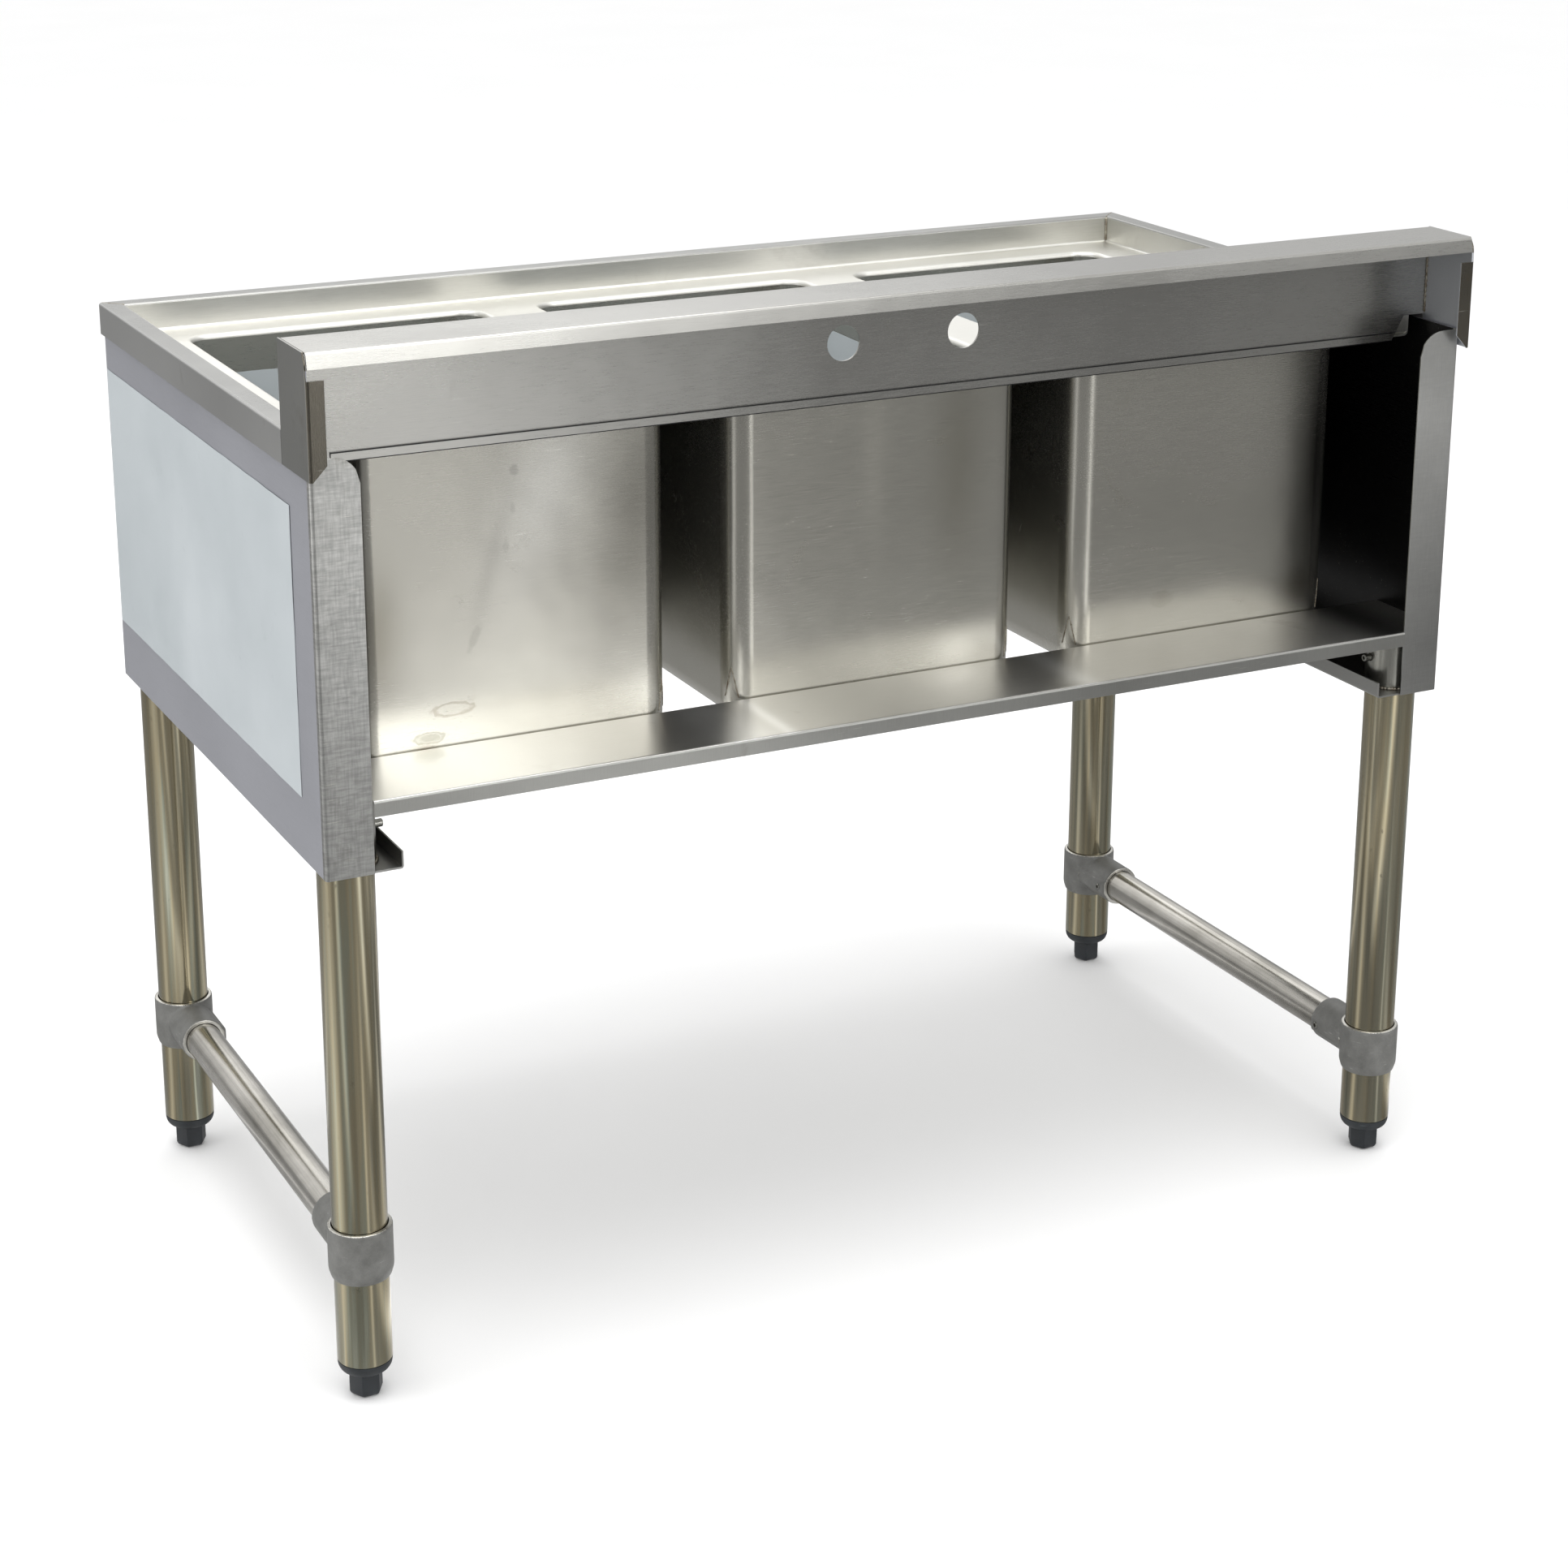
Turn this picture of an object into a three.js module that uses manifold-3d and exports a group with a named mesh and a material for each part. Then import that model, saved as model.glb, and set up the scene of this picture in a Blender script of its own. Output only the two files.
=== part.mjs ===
// Three compartment sink, free-standing, sheet steel on four tube legs.
// Millimetres, +Z up. Origin: centre of the footprint, on the floor.
// Front (where a person stands) is -Y, the wall side with the raised back is +Y.
import * as THREE from 'three';
import { mergeVertices } from 'three/addons/utils/BufferGeometryUtils.js';
import Module from 'manifold-3d';

const wasm = await Module();
wasm.setup();

// ---- driving dimensions ----------------------------------------------------
const T = 1.5;                  // sheet
const GAP = 0.3;                // clearance kept between separate pieces
const HALF_LENGTH = 482;        // over the rim and the end caps
const FRONT = -266;             // outer face of the front rim
const REAR = 266;               // rear face of the end caps, against the wall
const RIM_TOP = 737;
const RIM_WIDTH = 17;
const DECK_TOP = 713;
const SKIRT_BOTTOM = 711.5;

const SPLASH_Y = 207;           // front face of the raised back
const SPLASH_TOP = 800;
const SPLASH_BOTTOM = 709;
const RETURN_REAR = 262;        // where the top return turns down
const LIP_REAR = 265;
const LIP_BOTTOM = 788.5;
const CAP_KINK = 781;
const CAP_FLANGE = 13;
const FAUCET_PITCH = 101.6;     // 4 in
const FAUCET_Z = 755;
const FAUCET_D = 27;
const NOTCH_IN = 449, NOTCH_OUT = 460, NOTCH_TOP = 729;

const PANEL_OUT = 479;          // outer face of the end panels
const PANEL_FRONT = -263;
const PANEL_REAR = 256;
const PANEL_BOTTOM = 422;
const PANEL_TOP = 725;
const FLANGE_IN = 443;          // inner edge of the panels' rear flange
const FLANGE_R = 20;

const BOWL_PITCH = 301;
const BOWL_W = 248;             // inside, left to right
const BOWL_Y0 = -216, BOWL_Y1 = 169; // inside faces, front and back
const BOWL_FLOOR = 459;         // inside floor
const BOWL_R = 18.5;            // inside vertical corners
const BOWL_FLOOR_R = 15;        // inside radius between walls and floor
const DRAIN_Y = -23;

const SHELF_TOP = 477, SHELF_FRONT = 171, SHELF_REAR = 258, SHELF_LIP = 12;
const CHANNEL_IN = 421, CHANNEL_LIP_TOP = 435;

const LEG_X = 455, LEG_REAR_Y = 226, LEG_FRONT_Y = -228;
const LEG_R = 20.65;            // 1 5/8 in tube
const LEG_BOTTOM = 30, LEG_TOP = 462;
const SOCKET_R = 22.2, SOCKET_TOP = 468, SOCKET_SCREW_Z = 448;
const TEE_BOTTOM_LEFT = 98, TEE_BOTTOM_RIGHT = 74; // the tees clamp at any height; the two ends stand at different ones
const TEE_HEIGHT = 42, TEE_AXIS_UP = 22.5, TEE_R = 24.2, BRANCH_R = 18.5, BRANCH_REACH = 58;
const SCREW_REACH = 49;         // from the leg's axis to the screw that holds the cross tube
const CROSS_R = 15;
const FOOT_TOP = 19.5, FOOT_FLATS = 22.6, STEM_R = 6, STEM_TOP = 72;

const FILM_T = 0.3;
const SIDES = 20;

// ---- small helpers ---------------------------------------------------------
function solid(geometry) {
  const g = geometry.clone();
  g.deleteAttribute('normal');
  g.deleteAttribute('uv');
  const m = mergeVertices(g, 1e-4);
  const pos = m.getAttribute('position');
  return new wasm.Manifold(new wasm.Mesh({
    numProp: 3,
    vertProperties: new Float32Array(pos.array),
    triVerts: new Uint32Array(m.index.array),
  }));
}
function geometryOf(man) {
  const mesh = man.getMesh();
  const g = new THREE.BufferGeometry();
  g.setAttribute('position', new THREE.BufferAttribute(new Float32Array(mesh.vertProperties), 3));
  g.setIndex(new THREE.BufferAttribute(new Uint32Array(mesh.triVerts), 1));
  return g;
}
const box = (x0, x1, y0, y1, z0, z1) => {
  const g = new THREE.BoxGeometry(x1 - x0, y1 - y0, z1 - z0);
  g.translate((x0 + x1) / 2, (y0 + y1) / 2, (z0 + z1) / 2);
  return solid(g);
};
// cylinder along z, x or y
function rod(axis, r, a, b, c1, c2, sides = SIDES) {
  const g = new THREE.CylinderGeometry(r, r, b - a, sides);
  if (axis === 'z') g.rotateX(Math.PI / 2).translate(c1, c2, (a + b) / 2);
  if (axis === 'x') g.rotateZ(-Math.PI / 2).translate((a + b) / 2, c1, c2);
  if (axis === 'y') g.translate(c1, (a + b) / 2, c2);
  return solid(g);
}
// closed outline [u, v] extruded along an axis: x takes (y, z), y takes (x, z), z takes (x, y)
function prism(outline, axis, a, b) {
  const g = new THREE.ExtrudeGeometry(new THREE.Shape(outline.map(([u, v]) => new THREE.Vector2(u, v))), { depth: b - a, bevelEnabled: false, steps: 1 });
  const m = new THREE.Matrix4();
  if (axis === 'x') m.set(0, 0, 1, a, 1, 0, 0, 0, 0, 1, 0, 0, 0, 0, 0, 1);
  if (axis === 'y') m.set(1, 0, 0, 0, 0, 0, -1, b, 0, 1, 0, 0, 0, 0, 0, 1);
  if (axis === 'z') m.set(1, 0, 0, 0, 0, 1, 0, 0, 0, 0, 1, a, 0, 0, 0, 1);
  g.applyMatrix4(m);
  return solid(g);
}
// lathe about z at (x, y); the profile [r, z] closes on itself or starts and ends on the axis
function turned(profile, x, y, sides = SIDES) {
  const g = new THREE.LatheGeometry(profile.map(([r, z]) => new THREE.Vector2(r, z)), sides);
  g.rotateX(Math.PI / 2);
  g.translate(x, y, 0);
  let s = solid(g);
  if (s.volume() < 0) {
    const i = g.index.array;
    for (let k = 0; k < i.length; k += 3) [i[k], i[k + 1]] = [i[k + 1], i[k]];
    s = solid(g);
  }
  return s;
}
function roundedOutline(x0, x1, y0, y1, r, seg = 3) {
  const out = [];
  const corners = [[x1 - r, y1 - r, 0], [x0 + r, y1 - r, 90], [x0 + r, y0 + r, 180], [x1 - r, y0 + r, 270]];
  for (const [cx, cy, a0] of corners) {
    for (let k = 0; k <= seg; k += 1) {
      const a = THREE.MathUtils.degToRad(a0 + (90 * k) / seg);
      out.push([cx + r * Math.cos(a), cy + r * Math.sin(a)]);
    }
  }
  return out;
}
// closed solid through rings of equal length, listed from the bottom up
function loft(rings) {
  const n = rings[0].pts.length;
  const v = [];
  const idx = [];
  for (const ring of rings) for (const [x, y] of ring.pts) v.push(x, y, ring.z);
  for (let k = 0; k + 1 < rings.length; k += 1) {
    for (let i = 0; i < n; i += 1) {
      const a = k * n + i, b = k * n + ((i + 1) % n), c = a + n, d = b + n;
      idx.push(a, b, d, a, d, c);
    }
  }
  for (const [k, flip] of [[0, true], [rings.length - 1, false]]) {
    const ring = rings[k];
    const centre = v.length / 3;
    v.push(ring.pts.reduce((s, p) => s + p[0], 0) / n, ring.pts.reduce((s, p) => s + p[1], 0) / n, ring.z);
    for (let i = 0; i < n; i += 1) {
      const a = k * n + i, b = k * n + ((i + 1) % n);
      if (flip) idx.push(b, a, centre); else idx.push(a, b, centre);
    }
  }
  const g = new THREE.BufferGeometry();
  g.setAttribute('position', new THREE.BufferAttribute(new Float32Array(v), 3));
  g.setIndex(idx);
  return solid(g);
}

// ---- finishes --------------------------------------------------------------
const finish = (color, roughness, metalness) => ({ color, roughness, metalness });
const BRUSHED = finish(0xb4b5b2, 0.42, 0.9);
const SIDE_SHEET = finish(0x9d9da3, 0.5, 0.9);
const GALVANIZED = finish(0x8f897a, 0.42, 0.9);
const CAST = finish(0x6f6f6c, 0.6, 0.5);
const STAINLESS_TUBE = finish(0xb9b9b4, 0.35, 0.9);
const BLACK_PLASTIC = finish(0x3c4146, 0.6, 0.0);
const FOOT_PLASTIC = finish(0x464c52, 0.55, 0.0);
const ZINC = finish(0x9a9a96, 0.4, 0.9);
const RUBBER = finish(0x22211f, 0.9, 0.0);
const POLISHED = finish(0xc4c4c1, 0.25, 0.95);
const FILM = finish(0xc5cbcf, 0.55, 0.0);

const sink = new THREE.Group();
function piece(name, man, look) {
  const mesh = new THREE.Mesh(geometryOf(man), new THREE.MeshStandardMaterial({ ...look }));
  mesh.name = name;
  sink.add(mesh);
}
const both = [['left', 1], ['right', -1]];          // left end is +X, seen from the wall side
const mirrorX = (s, outline) => outline.map(([u, v]) => [s * u, v]);
const span = (s, a, b) => (s > 0 ? [a, b] : [-b, -a]);

// ---- deck with raised rim on the front and both ends --------------------------
{
  const inner = HALF_LENGTH - RIM_WIDTH;
  const rear = SPLASH_Y - GAP;
  let deck = box(-HALF_LENGTH, HALF_LENGTH, FRONT, rear, SKIRT_BOTTOM, RIM_TOP);
  deck = deck.subtract(box(-inner, inner, FRONT + RIM_WIDTH, rear + 20, DECK_TOP, RIM_TOP + 10));
  for (const [, s] of both) {
    const [a, b] = span(s, inner + T, HALF_LENGTH - T);
    deck = deck.subtract(box(a, b, FRONT + T, rear + 20, SKIRT_BOTTOM - 10, RIM_TOP - T));
  }
  deck = deck.subtract(box(-HALF_LENGTH + T, HALF_LENGTH - T, FRONT + T, FRONT + RIM_WIDTH - T, SKIRT_BOTTOM - 10, RIM_TOP - T));
  for (const k of [-1, 0, 1]) {
    const c = k * BOWL_PITCH;
    deck = deck.subtract(prism(roundedOutline(c - BOWL_W / 2, c + BOWL_W / 2, BOWL_Y0, BOWL_Y1, BOWL_R), 'z', SKIRT_BOTTOM - 10, DECK_TOP + 5));
  }
  piece('deck_with_raised_rim', deck, BRUSHED);
}

// ---- raised back: front sheet, top return and turned-down lip --------------------
{
  const end = HALF_LENGTH - T - GAP;
  const y = SPLASH_Y;
  const section = [
    [y, SPLASH_BOTTOM], [y + T, SPLASH_BOTTOM], [y + T, SPLASH_TOP - T], [RETURN_REAR - 1.2, SPLASH_TOP - T],
    [LIP_REAR - T, LIP_BOTTOM], [LIP_REAR, LIP_BOTTOM], [RETURN_REAR, SPLASH_TOP], [y, SPLASH_TOP],
  ];
  let splash = prism(section, 'x', -end, end);
  for (const s of [1, -1]) {
    splash = splash.subtract(rod('y', FAUCET_D / 2, y - 5, y + 10, (s * FAUCET_PITCH) / 2, FAUCET_Z, 24));
    splash = splash.subtract(prism(mirrorX(s, [[NOTCH_IN, SPLASH_BOTTOM - 5], [end + 5, SPLASH_BOTTOM - 5], [end + 5, NOTCH_TOP], [NOTCH_OUT, NOTCH_TOP], [NOTCH_IN, SPLASH_BOTTOM]]), 'y', y - 5, y + 10));
  }
  piece('backsplash', splash, BRUSHED);
}

// ---- end caps closing the raised back ----------------------------------------
for (const [side, s] of both) {
  const [a, b] = span(s, HALF_LENGTH - T, HALF_LENGTH);
  let cap = prism([[SPLASH_Y, SKIRT_BOTTOM], [REAR, SKIRT_BOTTOM], [REAR, CAP_KINK], [RETURN_REAR + 0.3, SPLASH_TOP], [SPLASH_Y, SPLASH_TOP]], 'x', a, b);
  cap = cap.add(prism(mirrorX(s, [[HALF_LENGTH - T + 0.5, SKIRT_BOTTOM + 1], [HALF_LENGTH - T + 0.5, CAP_KINK], [HALF_LENGTH - CAP_FLANGE, CAP_KINK], [HALF_LENGTH - CAP_FLANGE, SKIRT_BOTTOM + 12]]), 'y', REAR - T, REAR));
  piece(`end_cap_${side}`, cap, BRUSHED);
}

// ---- three bowls -----------------------------------------------------------
function bowlBody(cx, x0, x1, y0, y1, floor, top, r, rFloor) {
  const rings = [];
  const steps = 4;
  for (let k = 0; k <= steps; k += 1) {
    const a = ((Math.PI / 2) * k) / steps;
    const inset = rFloor * (1 - Math.sin(a));
    rings.push({ z: floor + rFloor * (1 - Math.cos(a)), pts: roundedOutline(cx + x0 + inset, cx + x1 - inset, y0 + inset, y1 - inset, Math.max(r - inset * 0.45, 3)) });
  }
  rings.push({ z: top, pts: roundedOutline(cx + x0, cx + x1, y0, y1, r) });
  return loft(rings);
}
const bowls = [['left', 1], ['middle', 0], ['right', -1]];
for (const [name, k] of bowls) {
  const cx = k * BOWL_PITCH;
  const h = BOWL_W / 2;
  const top = SKIRT_BOTTOM - GAP;
  let bowl = bowlBody(cx, -h - T, h + T, BOWL_Y0 - T, BOWL_Y1 + T, BOWL_FLOOR - T, top, BOWL_R + T, BOWL_FLOOR_R + T);
  bowl = bowl.subtract(bowlBody(cx, -h, h, BOWL_Y0, BOWL_Y1, BOWL_FLOOR, top + 20, BOWL_R, BOWL_FLOOR_R));
  bowl = bowl.subtract(rod('z', 24, BOWL_FLOOR - 20, BOWL_FLOOR + 20, cx, DRAIN_Y, SIDES));
  piece(`bowl_${name}`, bowl, BRUSHED);
}

// ---- end panels, each with a flange turned in at the rear -----------------------
for (const [side, s] of both) {
  const [a, b] = span(s, PANEL_OUT - T, PANEL_OUT);
  let panel = box(a, b, PANEL_FRONT, PANEL_REAR, PANEL_BOTTOM, PANEL_TOP);
  const flange = [[PANEL_OUT - 0.5, PANEL_BOTTOM], [PANEL_OUT - 0.5, PANEL_TOP], [FLANGE_IN + FLANGE_R, PANEL_TOP]];
  for (let k = 1; k <= 4; k += 1) {
    const t = THREE.MathUtils.degToRad(90 + (90 * k) / 4);
    flange.push([FLANGE_IN + FLANGE_R + FLANGE_R * Math.cos(t), PANEL_TOP - FLANGE_R + FLANGE_R * Math.sin(t)]);
  }
  flange.push([FLANGE_IN, PANEL_BOTTOM]);
  panel = panel.add(prism(mirrorX(s, flange), 'y', PANEL_REAR - T, PANEL_REAR));
  piece(`end_panel_${side}`, panel, SIDE_SHEET);
}

// ---- front apron between the end panels ----------------------------------------
{
  const end = PANEL_OUT - T - GAP;
  let apron = box(-end, end, PANEL_FRONT, PANEL_FRONT + T, PANEL_BOTTOM, PANEL_TOP);
  apron = apron.add(box(-CHANNEL_IN + 0.6, CHANNEL_IN - 0.6, PANEL_FRONT + 0.5, PANEL_FRONT + 18, PANEL_BOTTOM, PANEL_BOTTOM + T));
  piece('front_apron', apron, SIDE_SHEET);
}

// ---- rear ledge behind the bowls -----------------------------------------------
{
  const wide = PANEL_OUT - T - GAP;
  const narrow = FLANGE_IN - 0.5;
  let ledge = box(-wide, wide, SHELF_FRONT, PANEL_REAR - T - GAP, SHELF_TOP - T, SHELF_TOP);
  ledge = ledge.add(box(-narrow, narrow, PANEL_REAR - 5, SHELF_REAR, SHELF_TOP - T, SHELF_TOP));
  ledge = ledge.add(box(-narrow, narrow, SHELF_REAR - T, SHELF_REAR, SHELF_TOP - SHELF_LIP, SHELF_TOP - 0.2));
  ledge = ledge.add(box(-wide, wide, SHELF_FRONT, SHELF_FRONT + T, SHELF_TOP - SHELF_LIP, SHELF_TOP - 0.2));
  piece('rear_ledge', ledge, BRUSHED);
}

// ---- leg channels under each end ------------------------------------------------
const legs = [];
for (const [side, s] of both) for (const [end, y] of [['rear', LEG_REAR_Y], ['front', LEG_FRONT_Y]]) legs.push([`${end}_${side}`, s * LEG_X, y, s, end === 'rear' ? -1 : 1]);
for (const [side, s] of both) {
  const y0 = PANEL_FRONT + T + GAP, y1 = PANEL_REAR - T - GAP;
  const [a, b] = span(s, CHANNEL_IN, PANEL_OUT - T - GAP);
  const [c, d] = span(s, CHANNEL_IN, CHANNEL_IN + T);
  let channel = box(a, b, y0, y1, PANEL_BOTTOM, PANEL_BOTTOM + T).add(box(c, d, y0, y1, PANEL_BOTTOM, CHANNEL_LIP_TOP));
  for (const y of [LEG_REAR_Y, LEG_FRONT_Y]) channel = channel.subtract(rod('z', LEG_R + 0.35, PANEL_BOTTOM - 10, PANEL_BOTTOM + 10, s * LEG_X, y));
  piece(`leg_channel_${side}`, channel, BRUSHED);
}

// ---- leg sockets, their set screws, and the legs ----------------------------------
for (const [name, x, y, s] of legs) {
  const z0 = PANEL_BOTTOM + T + GAP;
  const inner = LEG_R + 0.3;
  let socket = turned([[inner, z0], [SOCKET_R, z0], [SOCKET_R, SOCKET_TOP], [0, SOCKET_TOP], [0, SOCKET_TOP - T], [inner, SOCKET_TOP - T], [inner, z0]], x, y);
  const [h0, h1] = span(s, LEG_X - SOCKET_R - 2, LEG_X - LEG_R + 3);
  socket = socket.subtract(rod('x', 3.4, h0, h1, y, SOCKET_SCREW_Z, 10));
  piece(`leg_socket_${name}`, socket, ZINC);
  const [p0, p1] = span(s, LEG_X - SOCKET_R - 6.5, LEG_X - LEG_R - GAP);
  piece(`socket_screw_${name}`, rod('x', 3, p0, p1, y, SOCKET_SCREW_Z, 8), ZINC);
  const r = LEG_R;
  piece(`leg_${name}`, rod('z', r, LEG_BOTTOM, LEG_TOP, x, y).subtract(rod('z', r - T, LEG_BOTTOM - 10, LEG_TOP + 10, x, y)), GALVANIZED);
}

// ---- tees clamped on the legs, their set screws, and the tubes between them ----------
for (const [name, x, y, s, d] of legs) {
  const bottom = s > 0 ? TEE_BOTTOM_LEFT : TEE_BOTTOM_RIGHT;
  const top = bottom + TEE_HEIGHT, axis = bottom + TEE_AXIS_UP;
  const inner = LEG_R + 0.7;
  let tee = rod('z', TEE_R, bottom + 7, top, x, y);
  tee = tee.add(turned([[0, bottom], [TEE_R - 2.2, bottom], [TEE_R, bottom + 7.5], [0, bottom + 7.5]], x, y));
  const reach = y + d * BRANCH_REACH;
  const [b0, b1] = d > 0 ? [y, reach] : [reach, y];
  tee = tee.add(rod('y', BRANCH_R, b0, b1, x, axis, 16));
  // flat pad along the inboard side of the branch, which the screw passes through
  const [k0, k1] = d > 0 ? [y + 12, reach - 1] : [reach + 1, y - 12];
  const [p0, p1] = s > 0 ? [x - BRANCH_R - 2, x - 14] : [x + 14, x + BRANCH_R + 2];
  tee = tee.add(box(p0, p1, k0, k1, axis - 7, axis + 7));
  tee = tee.subtract(rod('z', inner, bottom - 10, top + 10, x, y));
  const [c0, c1] = d > 0 ? [y + LEG_R - 1, reach + 10] : [reach - 10, y - LEG_R + 1];
  tee = tee.subtract(rod('y', CROSS_R + 0.35, c0, c1, x, axis, 16));
  const across = (r, r0, r1, sides) => rod('x', r, Math.min(x - s * r0, x - s * r1), Math.max(x - s * r0, x - s * r1), y + d * SCREW_REACH, axis, sides);
  tee = tee.subtract(across(3.4, CROSS_R - 2, BRANCH_R + 6, 10));
  piece(`tee_${name}`, tee, CAST);
  piece(`tee_screw_${name}`, across(3, CROSS_R + GAP, BRANCH_R + 2.6, 8), ZINC);
}
for (const [side, s] of both) {
  const y0 = LEG_FRONT_Y + LEG_R + 1.2, y1 = LEG_REAR_Y - LEG_R - 1.2;
  const z = (s > 0 ? TEE_BOTTOM_LEFT : TEE_BOTTOM_RIGHT) + TEE_AXIS_UP;
  piece(`cross_tube_${side}`, rod('y', CROSS_R, y0, y1, s * LEG_X, z, 16).subtract(rod('y', CROSS_R - T, y0 - 5, y1 + 5, s * LEG_X, z, 16)), STAINLESS_TUBE);
}

// ---- foot inserts and screw-in feet --------------------------------------------------
for (const [name, x, y] of legs) {
  const bore = STEM_R + 0.3;
  const insert = turned([
    [bore, FOOT_TOP + 0.4], [13.5, FOOT_TOP + 0.4], [LEG_R - 0.5, LEG_BOTTOM - 3], [LEG_R - 0.2, LEG_BOTTOM - 0.3],
    [LEG_R - T - 0.35, LEG_BOTTOM - 0.3], [LEG_R - T - 0.35, LEG_BOTTOM + 28], [bore, LEG_BOTTOM + 28], [bore, FOOT_TOP + 0.4],
  ], x, y);
  piece(`foot_insert_${name}`, insert, BLACK_PLASTIC);
  const hex = FOOT_FLATS / 2 / Math.cos(Math.PI / 6);
  const base = turned([[0, 0], [hex - 3, 0], [hex, 3.5], [hex, FOOT_TOP], [0, FOOT_TOP]], x, y, 6);
  piece(`foot_${name}`, base.add(rod('z', STEM_R, FOOT_TOP - 2, STEM_TOP, x, y, 12)), FOOT_PLASTIC);
}

// ---- drains: flanged body, gasket, lock nut, lift-out strainer -------------------------
for (const [name, k] of bowls) {
  const cx = k * BOWL_PITCH;
  const f = BOWL_FLOOR;
  const under = f - T;
  const body = turned([
    [19, 402], [22, 402], [22, f + GAP], [38, f + GAP], [38, f + 1.6], [34, f + 2.4], [26, f + 2.4], [20.6, f + 0.9], [20.6, f - 18], [19, f - 18], [19, 402],
  ], cx, DRAIN_Y, 16);
  piece(`drain_body_${name}`, body, POLISHED);
  piece(`drain_gasket_${name}`, turned([[22.4, under - GAP - 3], [35, under - GAP - 3], [35, under - GAP], [22.4, under - GAP], [22.4, under - GAP - 3]], cx, DRAIN_Y, 24), RUBBER);
  const nutTop = under - 2 * GAP - 3;
  piece(`drain_nut_${name}`, turned([[22.4, nutTop - 9], [30, nutTop - 9], [33, nutTop - 2.5], [33, nutTop], [22.4, nutTop], [22.4, nutTop - 9]], cx, DRAIN_Y, 24), ZINC);
  const cup = f - 16;
  let strainer = turned([
    [0, cup], [15.5, cup], [19.4, f - 8], [19.6, f + 1.3], [25.4, f + 2.9], [30.5, f + 2.9], [30.5, f + 3.9], [25, f + 3.9], [18.5, f + 2.1], [18.3, f - 7.4], [14.8, cup + 1.2], [4, cup + 1.2], [4, f + 10], [6.5, f + 13], [6.5, f + 16], [4, f + 18], [0, f + 18],
  ], cx, DRAIN_Y, 24);
  for (let h = 0; h < 6; h += 1) {
    const t = (Math.PI * 2 * h) / 6;
    strainer = strainer.subtract(rod('z', 2, cup - 3, cup + 5, cx + 10 * Math.cos(t), DRAIN_Y + 10 * Math.sin(t), 8));
  }
  piece(`strainer_${name}`, strainer, POLISHED);
}

// ---- protective film: one sheet on each end panel, one liner in each bowl ----------------
for (const [side, s] of both) {
  const [a, b] = span(s, PANEL_OUT + GAP, PANEL_OUT + GAP + FILM_T);
  piece(`panel_film_${side}`, box(a, b, -260, 210, 470, 683), FILM);
}
for (const [name, k] of bowls) {
  const cx = k * BOWL_PITCH;
  const at = (g) => roundedOutline(cx - BOWL_W / 2 + g, cx + BOWL_W / 2 - g, BOWL_Y0 + g, BOWL_Y1 - g, BOWL_R - g);
  piece(`bowl_film_${name}`, prism(at(GAP), 'z', 500, 680).subtract(prism(at(GAP + FILM_T), 'z', 490, 690)), FILM);
}

export default sink;
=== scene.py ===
import math
import random

import bmesh
import bpy
import numpy as np
from mathutils import Matrix, Vector, noise


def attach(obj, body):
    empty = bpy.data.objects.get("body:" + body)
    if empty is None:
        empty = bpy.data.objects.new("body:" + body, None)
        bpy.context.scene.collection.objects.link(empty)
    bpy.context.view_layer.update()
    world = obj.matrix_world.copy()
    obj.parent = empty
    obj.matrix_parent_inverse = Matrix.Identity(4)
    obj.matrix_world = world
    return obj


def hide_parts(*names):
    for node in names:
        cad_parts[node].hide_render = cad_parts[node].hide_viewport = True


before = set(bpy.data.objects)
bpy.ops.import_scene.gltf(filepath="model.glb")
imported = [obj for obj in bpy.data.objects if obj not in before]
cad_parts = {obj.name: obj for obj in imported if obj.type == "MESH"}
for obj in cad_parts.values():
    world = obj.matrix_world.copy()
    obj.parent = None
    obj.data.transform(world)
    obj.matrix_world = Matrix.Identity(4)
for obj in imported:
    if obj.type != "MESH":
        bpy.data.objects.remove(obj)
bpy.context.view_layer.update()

MM = 0.001
scene = bpy.context.scene
scene.view_settings.view_transform = "Standard"
scene.view_settings.look = "None"
random.seed(7)

# ---------------------------------------------------------------------------
# dimensions in mm, the same numbers as the CAD
# ---------------------------------------------------------------------------
T, GAP = 1.5, 0.3
HALF, FRONT, REAR = 482.0, -266.0, 266.0
RIM_TOP, RIM_W, DECK, SKIRT = 737.0, 17.0, 713.0, 711.5
SPLASH_Y, SPLASH_TOP, SPLASH_BOTTOM = 207.0, 800.0, 709.0
RETURN_REAR, LIP_REAR, LIP_BOTTOM, CAP_KINK, CAP_FLANGE = 262.0, 265.0, 788.5, 781.0, 13.0
FAUCET_PITCH, FAUCET_Z, FAUCET_D = 101.6, 755.0, 27.0
NOTCH_IN, NOTCH_OUT, NOTCH_TOP = 449.0, 460.0, 729.0
PANEL_OUT, PANEL_FRONT, PANEL_REAR, PANEL_BOTTOM, PANEL_TOP = 479.0, -263.0, 256.0, 422.0, 725.0
FLANGE_IN, FLANGE_R = 443.0, 20.0
PITCH, BOWL_W, BOWL_Y0, BOWL_Y1, BOWL_FLOOR = 301.0, 248.0, -216.0, 169.0, 459.0
BOWL_R, BOWL_FR, DRAIN_Y = 18.5, 15.0, -23.0
SHELF_TOP, SHELF_FRONT, SHELF_REAR, SHELF_LIP = 477.0, 171.0, 258.0, 12.0
CHANNEL_IN, CHANNEL_LIP = 421.0, 435.0
LEG_X, LEG_RY, LEG_FY, LEG_R, LEG_B, LEG_T = 455.0, 226.0, -228.0, 20.65, 30.0, 462.0
SOCKET_R, SOCKET_TOP, SOCKET_SCREW = 22.2, 468.0, 448.0
TEE_B = {"left": 98.0, "right": 74.0}
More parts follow.
